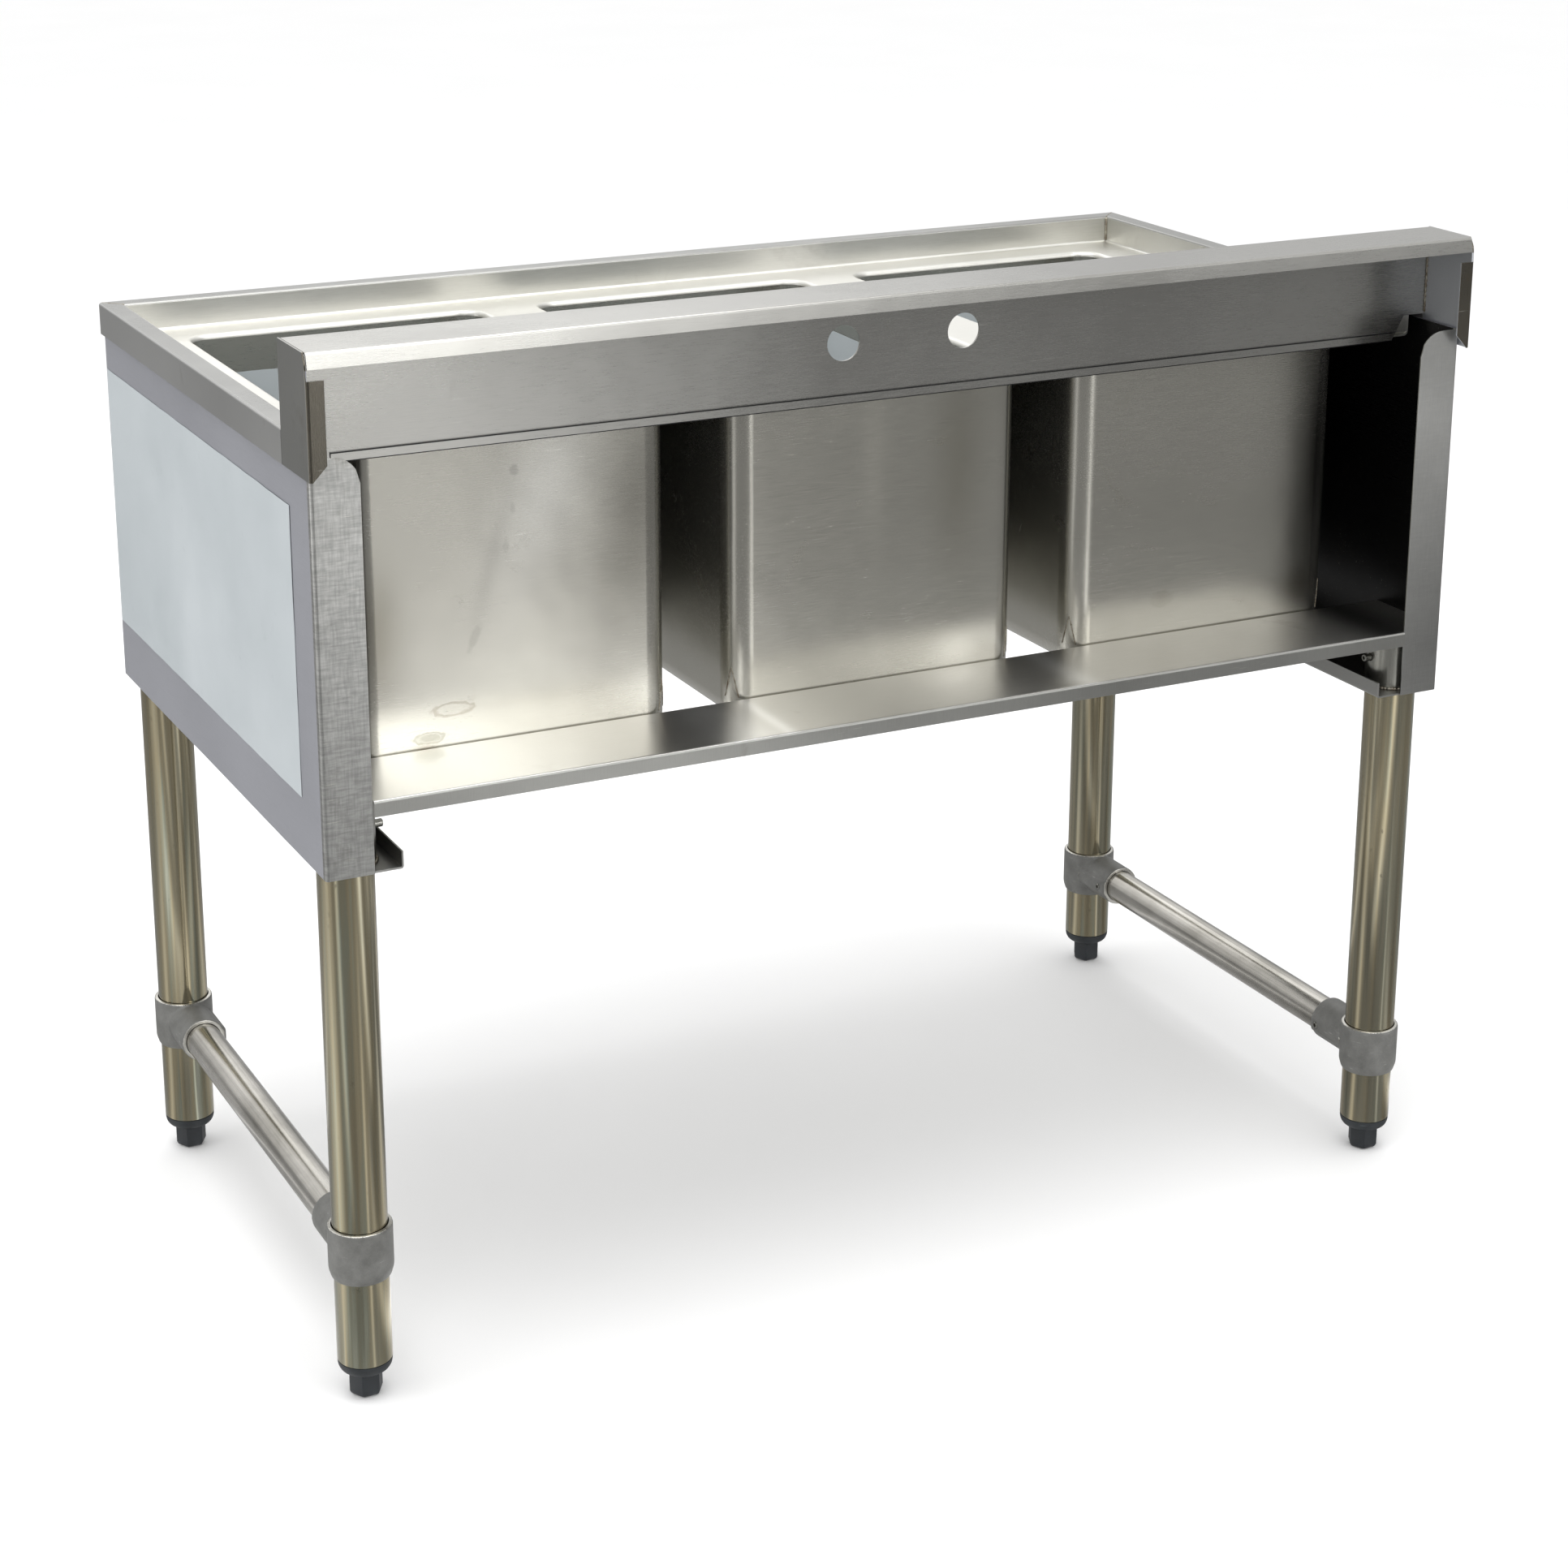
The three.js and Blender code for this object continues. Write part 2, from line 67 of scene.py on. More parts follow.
TEE_H, TEE_UP, TEE_R, BRANCH_R, BRANCH_REACH, SCREW_REACH = 42.0, 22.5, 24.2, 18.5, 58.0, 49.0
CROSS_R = 15.0
FOOT_TOP, FOOT_FLATS, STEM_R, STEM_TOP = 19.5, 22.6, 6.0, 72.0

SIDES = (("left", 1), ("right", -1))
BOWLS = (("left", 1), ("middle", 0), ("right", -1))
LEGS = [(f"{e}_{s}", k * LEG_X, y, k, s, 1 if e == "front" else -1)
        for s, k in SIDES for e, y in (("rear", LEG_RY), ("front", LEG_FY))]

# ---------------------------------------------------------------------------
# mesh helpers
# ---------------------------------------------------------------------------
def make(name, verts, faces):
    me = bpy.data.meshes.new(name)
    me.from_pydata([(x * MM, y * MM, z * MM) for x, y, z in verts], [], faces)
    me.validate()
    o = bpy.data.objects.new(name, me)
    scene.collection.objects.link(o)
    tidy(o)
    return o


def tidy(o, dist=2e-6, normals=True):
    bm = bmesh.new()
    bm.from_mesh(o.data)
    bmesh.ops.remove_doubles(bm, verts=bm.verts, dist=dist)
    bmesh.ops.dissolve_degenerate(bm, edges=bm.edges, dist=1e-7)
    if normals:
        bmesh.ops.recalc_face_normals(bm, faces=bm.faces)
    bm.to_mesh(o.data)
    bm.free()


def face_out(o, point, direction):
    """Turns the whole surface so that the face nearest to point looks along direction."""
    p, d = Vector(point) * MM, Vector(direction)
    near = min(o.data.polygons, key=lambda f: (f.center - p).length_squared)
    if near.normal.dot(d) < 0:
        o.data.flip_normals()
    return o


def bake(o):
    """Replaces the mesh by what the modifiers make of it."""
    dg = bpy.context.evaluated_depsgraph_get()
    dg.update()
    me = bpy.data.meshes.new_from_object(o.evaluated_get(dg), preserve_all_data_layers=True, depsgraph=dg)
    old = o.data
    me.name = old.name + "_m"
    o.modifiers.clear()
    o.data = me
    bpy.data.meshes.remove(old)
    return o


def remove(o):
    me = o.data
    bpy.data.objects.remove(o)
    bpy.data.meshes.remove(me)


def thick(o, t=T, offset=-1.0):
    m = o.modifiers.new("thick", "SOLIDIFY")
    m.thickness = t * MM
    m.offset = offset
    m.use_even_offset = True
    m.use_quality_normals = True
    return bake(o)


def boolean(o, other, op="DIFFERENCE", keep=False):
    m = o.modifiers.new("b", "BOOLEAN")
    m.operation = op
    m.solver = "EXACT"
    m.object = other
    bake(o)
    if not keep:
        remove(other)
    return o


def edges(o, width=0.35, segments=2, angle=40.0):
    m = o.modifiers.new("bevel", "BEVEL")
    m.width = width * MM
    m.segments = segments
    m.limit_method = "ANGLE"
    m.angle_limit = math.radians(angle)
    m.miter_outer = "MITER_ARC"
    m.use_clamp_overlap = True
    return bake(o)


def smooth(o, angle=32.0):
    me = o.data
    me.shade_smooth()
    me.set_sharp_from_angle(angle=math.radians(angle))
    m = o.modifiers.new("wn", "WEIGHTED_NORMAL")
    m.keep_sharp = True
    m.weight = 60
    return bake(o)


def fillet(points, radii, seg=6):
    """A 2D polyline with its inner corners rounded; radii is one number, or one for each inner corner."""
    n = len(points)
    if not isinstance(radii, (list, tuple)):
        radii = [radii] * (n - 2)
    out = [tuple(points[0])]
    for i in range(1, n - 1):
        p, a, b = (np.array(points[j], float) for j in (i, i - 1, i + 1))
        r = radii[i - 1]
        u, v = (a - p) / np.linalg.norm(a - p), (b - p) / np.linalg.norm(b - p)
        ang = math.acos(max(-1, min(1, float(u @ v))))
        if r <= 0 or ang > math.radians(179):
            out.append(tuple(p))
            continue
        d = r / math.tan(ang / 2)
        c = p + (u + v) / np.linalg.norm(u + v) * (r / math.sin(ang / 2))
        s, e = p + u * d - c, p + v * d - c
        a0 = math.atan2(s[1], s[0])
        da = (math.atan2(e[1], e[0]) - a0 + math.pi) % (2 * math.pi) - math.pi
        for k in range(seg + 1):
            t = a0 + da * k / seg
            out.append((c[0] + r * math.cos(t), c[1] + r * math.sin(t)))
    out.append(tuple(points[-1]))
    return out


def dense(points, step):
    """Splits the long pieces of a 2D polyline."""
    out = [points[0]]
    for a, b in zip(points, points[1:]):
        k = max(1, int(math.hypot(b[0] - a[0], b[1] - a[1]) / step))
        out += [(a[0] + (b[0] - a[0]) * i / k, a[1] + (b[1] - a[1]) * i / k) for i in range(1, k + 1)]
    return out


AXES = {"x": lambda u, v, t: (t, u, v), "y": lambda u, v, t: (u, t, v), "z": lambda u, v, t: (u, v, t)}


def strip(name, axis, prof, lo, hi, n=1):
    """A bent sheet: the 2D profile run along an axis between lo and hi, which may change along the profile."""
    place = AXES[axis]
    verts, faces = [], []
    for u, v in prof:
        a = lo(u, v) if callable(lo) else lo
        b = hi(u, v) if callable(hi) else hi
        verts += [place(u, v, a + (b - a) * j / n) for j in range(n + 1)]
    for i in range(len(prof) - 1):
        for j in range(n):
            p = i * (n + 1) + j
            faces.append((p, p + 1, p + n + 2, p + n + 1))
    return make(name, verts, faces)


def lathe(name, prof, x, y, n=72, closed=False, axis="z"):
    """Turns the profile [(r, h)]. axis z: about z through (x, y). axis y: about y through (x, z=y). axis x: about x through (y=x, z=y)."""
    verts, faces = [], []
    m = len(prof)
    for r, h in prof:
        for k in range(n):
            t = 2 * math.pi * k / n
            c, s = r * math.cos(t), r * math.sin(t)
            verts.append({"z": (x + c, y + s, h), "y": (x + c, h, y + s), "x": (h, x + c, y + s)}[axis])
    for i in range(m if closed else m - 1):
        j = (i + 1) % m
        for k in range(n):
            q = (k + 1) % n
            faces.append((i * n + k, i * n + q, j * n + q, j * n + k))
    if not closed:
        for i in (0, m - 1):
            if prof[i][0] > 1e-6:
                faces.append(tuple(i * n + k for k in range(n)))
    return make(name, verts, faces)


def block(name, x0, x1, y0, y1, z0, z1):
    v = [(x, y, z) for x in (x0, x1) for y in (y0, y1) for z in (z0, z1)]
    f = [(0, 1, 3, 2), (4, 6, 7, 5), (0, 4, 5, 1), (2, 3, 7, 6), (0, 2, 6, 4), (1, 5, 7, 3)]
    return make(name, v, f)


def prism(name, axis, outline, a, b):
    place = AXES[axis]
    n = len(outline)
    verts = [place(u, v, a) for u, v in outline] + [place(u, v, b) for u, v in outline]
    faces = [tuple(range(n)), tuple(range(2 * n - 1, n - 1, -1))]
    faces += [(i, (i + 1) % n, n + (i + 1) % n, n + i) for i in range(n)]
    return make(name, verts, faces)


def rounded(x0, x1, y0, y1, r, seg=8, side=6):
    """A closed rounded rectangle with points along its sides too."""
    out = []
    r = max(r, 0.4)
    cs = [(x1 - r, y1 - r, 0), (x0 + r, y1 - r, 90), (x0 + r, y0 + r, 180), (x1 - r, y0 + r, 270)]
    for i, (cx, cy, a0) in enumerate(cs):
        for k in range(seg + 1):
            a = math.radians(a0 + 90 * k / seg)
            out.append((cx + r * math.cos(a), cy + r * math.sin(a)))
        nx, ny, na = cs[(i + 1) % 4]
        a = math.radians(na)
        e = (nx + r * math.cos(a), ny + r * math.sin(a))
        s = out[-1]
        for k in range(1, side):
            out.append((s[0] + (e[0] - s[0]) * k / side, s[1] + (e[1] - s[1]) * k / side))
    return out


def join(name, objs):
    """Joins objects into the first one."""
    bpy.ops.object.select_all(action="DESELECT")
    for o in objs:
        o.select_set(True)
    bpy.context.view_layer.objects.active = objs[0]
    bpy.ops.object.join()
    o = bpy.context.view_layer.objects.active
    o.name = name
    o.data.name = name
    return o


def wave(o, amount, size, axis, seed=0.0, pin=None):
    """Pushes a sheet's points along an axis by smooth noise, so that it isn't dead flat. pin(x, y, z) scales the push."""
    k = "xyz".index(axis)
    for v in o.data.vertices:
        f = 1.0 if pin is None else pin(*(v.co / MM))
        if f:
            v.co[k] += amount * MM * f * noise.noise(v.co / (size * MM) + Vector((seed, seed * 1.7, seed * 0.3)))
    return o


# ---------------------------------------------------------------------------
# materials
# ---------------------------------------------------------------------------
class Nodes:
    def __init__(self, name):
        self.m = bpy.data.materials.new(name)
        self.m.use_nodes = True
        self.t = self.m.node_tree
        self.b = next(n for n in self.t.nodes if n.type == "BSDF_PRINCIPLED")
        self.co = self.t.nodes.new("ShaderNodeTexCoord").outputs["Object"]

    def node(self, kind, **ins):
        n = self.t.nodes.new("ShaderNode" + kind)
        for k, v in ins.items():
            key = k.replace("_", " ")
            s = n.inputs[key] if key in n.inputs else n.inputs[int(k[1:])]
            if hasattr(v, "links") and hasattr(v, "node"):
                self.t.links.new(v, s)
            else:
                s.default_value = v
        return n

    def mapped(self, scale, rot=(0, 0, 0), loc=(0, 0, 0)):
        n = self.node("Mapping")
        n.inputs["Scale"].default_value = scale
        n.inputs["Rotation"].default_value = rot
        n.inputs["Location"].default_value = loc
        self.t.links.new(self.co, n.inputs["Vector"])
        return n.outputs["Vector"]

    def noise(self, vec, scale=1.0, detail=3.0, rough=0.55, dist=0.0):
        n = self.node("TexNoise", Vector=vec, Scale=scale, Detail=detail, Roughness=rough, Distortion=dist)
        return n.outputs["Fac"]

    def range(self, v, a, b, c=0.0, d=1.0):
        n = self.node("MapRange")
        n.clamp = True
        self.t.links.new(v, n.inputs["Value"])
        for k, x in zip(("From Min", "From Max", "To Min", "To Max"), (a, b, c, d)):
            n.inputs[k].default_value = x
        return n.outputs["Result"]

    def ramp(self, v, stops):
        n = self.node("ValToRGB")
        self.t.links.new(v, n.inputs["Fac"])
        e = n.color_ramp.elements
        while len(e) > 1:
            e.remove(e[-1])
        e[0].position, e[0].color = stops[0][0], (*stops[0][1], 1)
        for p, c in stops[1:]:
            x = e.new(p)
            x.color = (*c, 1)
        return n.outputs["Color"]

    def math(self, op, a, b=0.0):
        n = self.node("Math")
        n.operation = op
        for s, v in zip(n.inputs, (a, b)):
            if hasattr(v, "links"):
                self.t.links.new(v, s)
            else:
                s.default_value = v
        return n.outputs[0]

    def mix(self, f, a, b, mode="MIX"):
        n = self.t.nodes.new("ShaderNodeMix")
        n.data_type = "RGBA"
        n.blend_type = mode
        for s, v in ((n.inputs[0], f), (n.inputs[6], a), (n.inputs[7], b)):
            if hasattr(v, "links"):
                self.t.links.new(v, s)
            else:
                s.default_value = v if s.type == "VALUE" else (*v[:3], 1)
        return n.outputs[2]

    def bump(self, height, strength, distance, normal=None):
        n = self.node("Bump")
        n.inputs["Strength"].default_value = strength
        n.inputs["Distance"].default_value = distance
        self.t.links.new(height, n.inputs["Height"])
        if normal is not None:
            self.t.links.new(normal, n.inputs["Normal"])
        return n.outputs["Normal"]

    def set(self, **ins):
        for k, v in ins.items():
            s = self.b.inputs[k.replace("_", " ")]
            if hasattr(v, "links"):
                self.t.links.new(v, s)
            else:
                s.default_value = v
        return self.m


def hexc(r, g, b):
    """An sRGB 0-255 colour as linear numbers."""
    return tuple(((c / 255) / 12.92 if c / 255 <= 0.04045 else ((c / 255 + 0.055) / 1.055) ** 2.4) for c in (r, g, b))


GRAIN = {"x": (60, 1500, 1500), "y": (1500, 60, 1500), "z": (1500, 1500, 60)}


# Water marks and stains on the rear faces of the bowls, together with soft painted reflections, bright and dark, which
# are marked below.
WATER_MARKS_AND_PAINTED_REFLECTIONS = (  # on the rear faces of the bowls: x, z, half width, half height, lean, ring (-1: soft shade), fill, tone
    (0.350, 0.504, 0.0150, 0.0046, 0.0, 0.34, 0.06, (104, 94, 72)),
    (0.369, 0.4845, 0.0115, 0.0040, 0.0, 0.40, 0.42, (100, 100, 80)),
    (0.372, 0.477, 0.0100, 0.0035, 0.0, -1, 0.40, (112, 98, 70)),
    (0.3165, 0.614, 0.0075, 0.045, -0.29, -1, 0.20, (92, 90, 84)),
    (0.298, 0.678, 0.0035, 0.0050, 0.0, 0.0, 0.34, (86, 84, 80)),
    (0.300, 0.650, 0.0022, 0.0040, 0.0, 0.0, 0.26, (88, 86, 80)),
    (0.306, 0.622, 0.0026, 0.0050, 0.0, 0.0, 0.22, (88, 86, 80)),
    (0.332, 0.556, 0.0040, 0.0110, -0.4, 0.0, 0.16, (90, 88, 80)),
    # painted highlight and painted shade: the bright band down the middle of the left bowl and the darker part beside
    # it
    (0.274, 0.665, 0.0300, 0.070, -0.3, -1, 0.42, (226, 225, 220)),
    (0.203, 0.635, 0.0280, 0.085, -0.1, -1, 0.50, (92, 89, 80)),
    (0.408, 0.565, 0.0180, 0.045, 0.0, -1, 0.34, (122, 113, 92)),
    # painted highlight in the middle bowl
    (0.004, 0.660, 0.0120, 0.070, 0.0, -1, 0.30, (206, 203, 192)),
    (-0.070, 0.640, 0.0200, 0.080, 0.0, -1, 0.30, (122, 117, 98)),
    # painted highlight low in the middle bowl
    (-0.072, 0.492, 0.0220, 0.016, 0.0, -1, 0.45, (236, 234, 226)),
    # painted shade: dark lines along the -X corners of the middle and right bowls
    (-0.118, 0.600, 0.0060, 0.120, 0.0, -1, 0.30, (96, 92, 82)),
    (-0.409, 0.610, 0.0090, 0.085, 0.0, -1, 0.80, (44, 43, 41)),
    (-0.398, 0.500, 0.0160, 0.016, 0.0, -1, 0.40, (96, 84, 66)),
    (-0.262, 0.506, 0.0090, 0.0060, 0.0, 0.12, 0.16, (104, 94, 72)),
)


# Painted highlights and painted shade along the ledge, standing in for what it reflects.
LEDGE_PAINTED_REFLECTIONS = (  # soft brighter and darker parts along the ledge, in the same form
    (0.385, 0.477, 0.110, 0.08, 0.0, -1, 0.95, (255, 255, 253)),
    (0.155, 0.477, 0.034, 0.08, 0.0, -1, 0.95, (255, 255, 255)),
    (0.118, 0.477, 0.006, 0.08, 0.0, -1, 0.80, (255, 255, 255)),
    (0.030, 0.477, 0.065, 0.08, 0.0, -1, 0.62, (150, 149, 145)),
    (-0.140, 0.477, 0.012, 0.08, 0.0, -1, 0.60, (250, 250, 250)),
    (-0.432, 0.477, 0.034, 0.08, 0.0, -1, 0.88, (52, 52, 51)),
)


def sheet_metal(name, light, dark, rough=(0.28, 0.46), grain="x", stains=0.35, stain=(95, 84, 66), scratches=0.5,
                grain_strength=0.14, wobble=0.35, metallic=0.95, seed=0.0, painted_light_ramp=None, weave=0.0, stains_and_painted_light=()):
    """Brushed sheet: two tones in soft clouds, fine grain along one axis, brown marks, short scratches, slightly wavy;
    when given, listed stains and painted reflections, and a painted light ramp along one axis.
    """
    s = Nodes(name)
    cloud = s.noise(s.mapped((1, 1, 1), loc=(seed, seed * 0.7, 0)), 4.0, 3.0, 0.5)
    base = s.mix(s.range(cloud, 0.20, 0.80), hexc(*dark), hexc(*light))
    fine = s.noise(s.mapped(GRAIN[grain], loc=(seed, 0, 0)), 1.0, 4.0, 0.75)
    base = s.mix(0.22, base, s.ramp(fine, [(0.30, (0.52, 0.52, 0.52)), (0.50, (0.84, 0.84, 0.84)), (0.72, (1, 1, 1))]), "MULTIPLY")
    spot = s.noise(s.mapped((1, 1, 1), loc=(seed + 3, 1, 2)), 13.0, 6.0, 0.7, 0.6)
    dab = s.noise(s.mapped((1, 1, 1), loc=(5, seed, 1)), 60.0, 3.0, 0.6)
    mark = s.math("MULTIPLY", s.range(spot, 0.60, 0.76), s.range(dab, 0.38, 0.66))
    base = s.mix(s.math("MULTIPLY", mark, stains), base, hexc(*stain))
    lines = None
    for k, (rot, sc) in enumerate((((0.0, 0.35, 0.5), (38, 900, 900)), ((0.6, -0.4, 1.1), (30, 800, 800)), ((0.2, 1.2, 0.1), (46, 1000, 1000)))):
        f = s.range(s.noise(s.mapped(sc, rot, (seed * 2 + k, 0, 0)), 1.0, 1.0, 0.4), 0.755, 0.81)
        lines = f if lines is None else s.math("MAXIMUM", lines, f)
    lines = s.math("MULTIPLY", lines, s.range(spot, 0.42, 0.62))
    base = s.mix(s.math("MULTIPLY", lines, scratches), base, hexc(216, 214, 206))
    if weave:
        across = s.range(s.noise(s.mapped((80, 80, 620), loc=(seed, 2, 0)), 1.0, 2.0, 0.6), 0.34, 0.66, 0.66, 1.10)
        down = s.range(s.noise(s.mapped((620, 620, 70), loc=(2, seed, 0)), 1.0, 2.0, 0.6), 0.34, 0.66, 0.74, 1.08)
        cloth = s.math("MULTIPLY", across, down)
        base = s.mix(s.range(s.node("SeparateXYZ", Vector=s.co).outputs[0], 0.0, 0.2, weave * 0.2, weave), base, s.node("CombineXYZ", X=cloth, Y=cloth, Z=cloth).outputs[0], "MULTIPLY")
    if stains_and_painted_light:
        px, py, pz = s.node("SeparateXYZ", Vector=s.co).outputs
        ragged = s.noise(s.mapped((1, 1, 1), loc=(3, seed, 8)), 170.0, 3.0, 0.6)
        ragged = s.math("MULTIPLY", s.math("SUBTRACT", ragged, 0.5), 1.1)
        for mx, mz, rx, rz, lean, ring, fill, tone in stains_and_painted_light:
            dz = s.math("SUBTRACT", pz, mz)
            dx = s.math("SUBTRACT", s.math("SUBTRACT", px, mx), s.math("MULTIPLY", dz, lean))
            dx, dz = s.math("DIVIDE", dx, rx), s.math("DIVIDE", dz, rz)
            away = s.math("ADD", s.math("MULTIPLY", dx, dx), s.math("MULTIPLY", dz, dz))
            # ring -1: a soft patch without a ragged edge; the painted reflections, bright and dark, are of this kind,
            # as are some soft stains
            if ring < 0:
                shade = s.math("MULTIPLY", s.math("POWER", math.e, s.math("MULTIPLY", away, -1.0)), fill)
                base = s.mix(s.math("MULTIPLY", shade, s.range(py, 0.150, 0.156)), base, hexc(*tone))
                continue
            away = s.math("SQRT", away)
            away = s.math("ADD", away, ragged)
            edge = s.range(s.math("ABSOLUTE", s.math("SUBTRACT", away, 1.0)), 0.06, 0.24, ring, 0.0)
            body = s.range(away, 0.55, 1.15, fill, 0.0)
            f = s.math("MULTIPLY", s.math("MAXIMUM", edge, body), s.range(py, 0.150, 0.156))
            base = s.mix(f, base, hexc(*tone))
    # painted light ramp: the base colour scaled darker and brighter along one axis, where the light falls less and more
    if painted_light_ramp:
        axis, a, b, c, d = painted_light_ramp
        f = s.range(s.node("SeparateXYZ", Vector=s.co).outputs[axis], a, b, c, d)
        base = s.mix(1.0, base, s.node("CombineXYZ", X=f, Y=f, Z=f).outputs[0], "MULTIPLY")
    r = s.range(cloud, 0.3, 0.7, rough[0], rough[1])
    r = s.math("ADD", r, s.range(fine, 0.3, 0.75, -0.03, 0.04))
    r = s.math("ADD", r, s.math("MULTIPLY", mark, 0.14))
    wob = s.noise(s.mapped((1, 1, 1), loc=(seed, 9, 4)), 11.0, 2.0, 0.5)
    nrm = s.bump(wob, wobble, 0.004)
    nrm = s.bump(fine, grain_strength, 0.00012, nrm)
    nrm = s.bump(lines, 0.25, 0.0001, nrm)
    return s.set(Base_Color=base, Metallic=metallic, Roughness=r, Normal=nrm)


def tube_zinc(name):
    s = Nodes(name)
    a = s.noise(s.mapped((55, 55, 1.6)), 1.0, 4.0, 0.62)
    c = s.noise(s.mapped((300, 300, 1.2), loc=(4, 1, 0)), 1.0, 2.0, 0.5)
    mott = s.noise(s.mapped((1, 1, 0.2)), 26.0, 3.0, 0.5)
    base = s.ramp(a, [(0.30, hexc(122, 122, 108)), (0.42, hexc(150, 145, 126)), (0.50, hexc(158, 148, 122)), (0.58, hexc(148, 149, 132)), (0.70, hexc(184, 185, 170))])
    base = s.mix(0.35, base, s.ramp(c, [(0.35, (0.5, 0.5, 0.5)), (0.6, (1, 1, 1))]), "MULTIPLY")
    base = s.mix(s.range(mott, 0.5, 0.72, 0.0, 0.35), base, hexc(136, 135, 118))
    speck = s.range(s.noise(s.mapped((1, 1, 0.6), loc=(2, 7, 0)), 150.0, 1.0, 0.5), 0.72, 0.80)
    base = s.mix(s.math("MULTIPLY", speck, 0.25), base, hexc(70, 68, 56))
    r = s.math("ADD", s.range(mott, 0.3, 0.7, 0.11, 0.18), s.math("MULTIPLY", speck, 0.15))
    nrm = s.bump(c, 0.08, 0.0001, s.bump(mott, 0.04, 0.0004))
    return s.set(Base_Color=base, Metallic=0.92, Roughness=r, Normal=nrm)


def tube_stainless(name):
    s = Nodes(name)
    a = s.noise(s.mapped((260, 3, 260)), 1.0, 4.0, 0.65)
    cloud = s.noise(s.mapped((1, 0.4, 1)), 24.0, 4.0, 0.6)
    base = s.mix(s.range(cloud, 0.35, 0.65), hexc(160, 157, 149), hexc(202, 199, 192))
    base = s.mix(0.5, base, s.ramp(a, [(0.32, (0.45, 0.45, 0.45)), (0.62, (1, 1, 1))]), "MULTIPLY")
    r = s.math("ADD", s.range(cloud, 0.3, 0.7, 0.18, 0.27), s.range(a, 0.3, 0.7, -0.03, 0.05))
    nrm = s.bump(a, 0.14, 0.0002)
    return s.set(Base_Color=base, Metallic=0.95, Roughness=r, Normal=nrm)


def cast_grey(name, light=(124, 124, 121), dark=(104, 104, 101), rough=(0.42, 0.6), metallic=0.35):
    s = Nodes(name)
    cloud = s.noise(s.mapped((1, 1, 1)), 70.0, 5.0, 0.6)
    fine = s.noise(s.mapped((1, 1, 1), loc=(3, 2, 1)), 900.0, 3.0, 0.6)
    base = s.mix(s.range(cloud, 0.35, 0.66), hexc(*dark), hexc(*light))
    scratch = s.range(s.noise(s.mapped((70, 70, 900), (0.25, 0.1, 0.3)), 1.0, 1.0, 0.4), 0.70, 0.76)
    scratch = s.math("MULTIPLY", scratch, s.range(cloud, 0.48, 0.6))
    base = s.mix(s.math("MULTIPLY", scratch, 0.6), base, hexc(180, 180, 176))
    base = s.mix(0.22, base, s.ramp(fine, [(0.3, (0.5, 0.5, 0.5)), (0.6, (1, 1, 1))]), "MULTIPLY")
    r = s.range(cloud, 0.3, 0.7, rough[0], rough[1])
    nrm = s.bump(fine, 0.22, 0.0002, s.bump(cloud, 0.18, 0.0006))
    return s.set(Base_Color=base, Metallic=metallic, Roughness=r, Normal=nrm)


def moulded(name, tone, rough=(0.42, 0.58)):
    s = Nodes(name)
    cloud = s.noise(s.mapped((1, 1, 1)), 90.0, 4.0, 0.6)
    fine = s.noise(s.mapped((1, 1, 1), loc=(1, 5, 3)), 1500.0, 2.0, 0.5)
    t = hexc(*tone)
    base = s.mix(s.range(cloud, 0.35, 0.68), tuple(c * 0.78 for c in t), tuple(min(1, c * 1.25) for c in t))
    scuff = s.math("MULTIPLY", s.range(s.noise(s.mapped((60, 60, 1100), (0.3, 0.2, 0)), 1.0, 1.0, 0.4), 0.70, 0.77), s.range(cloud, 0.5, 0.6))
    base = s.mix(s.math("MULTIPLY", scuff, 0.4), base, hexc(130, 134, 138))
    r = s.range(cloud, 0.3, 0.7, rough[0], rough[1])
    return s.set(Base_Color=base, Metallic=0.0, Roughness=r, Normal=s.bump(fine, 0.18, 0.00015))


def film(name):
    s = Nodes(name)
    cloud = s.noise(s.mapped((1, 1, 1)), 5.0, 4.0, 0.6)
    wrink = s.noise(s.mapped((1.0, 0.6, 2.4), (0.2, 0.1, 0.0)), 16.0, 5.0, 0.6, 0.8)
    base = s.mix(s.range(cloud, 0.34, 0.68), hexc(170, 177, 180), hexc(182, 188, 191))
    dirt = s.range(s.noise(s.mapped((1, 1, 1), loc=(3, 3, 3)), 70.0, 4.0, 0.6), 0.66, 0.76)
    base = s.mix(s.math("MULTIPLY", dirt, 0.16), base, hexc(140, 146, 150))
    r = s.range(cloud, 0.3, 0.7, 0.34, 0.48)
    nrm = s.bump(wrink, 0.22, 0.0012)
    return s.set(Base_Color=base, Metallic=0.0, Roughness=r, Normal=nrm)


def weld(name, tone=(168, 164, 152)):
    s = Nodes(name)
    a = s.noise(s.mapped((1, 1, 1)), 260.0, 4.0, 0.6)
    base = s.mix(s.range(a, 0.36, 0.64), hexc(112, 100, 84), hexc(*tone))
    r = s.range(a, 0.3, 0.7, 0.24, 0.42)
    return s.set(Base_Color=base, Metallic=0.95, Roughness=r, Normal=s.bump(a, 0.3, 0.0006))


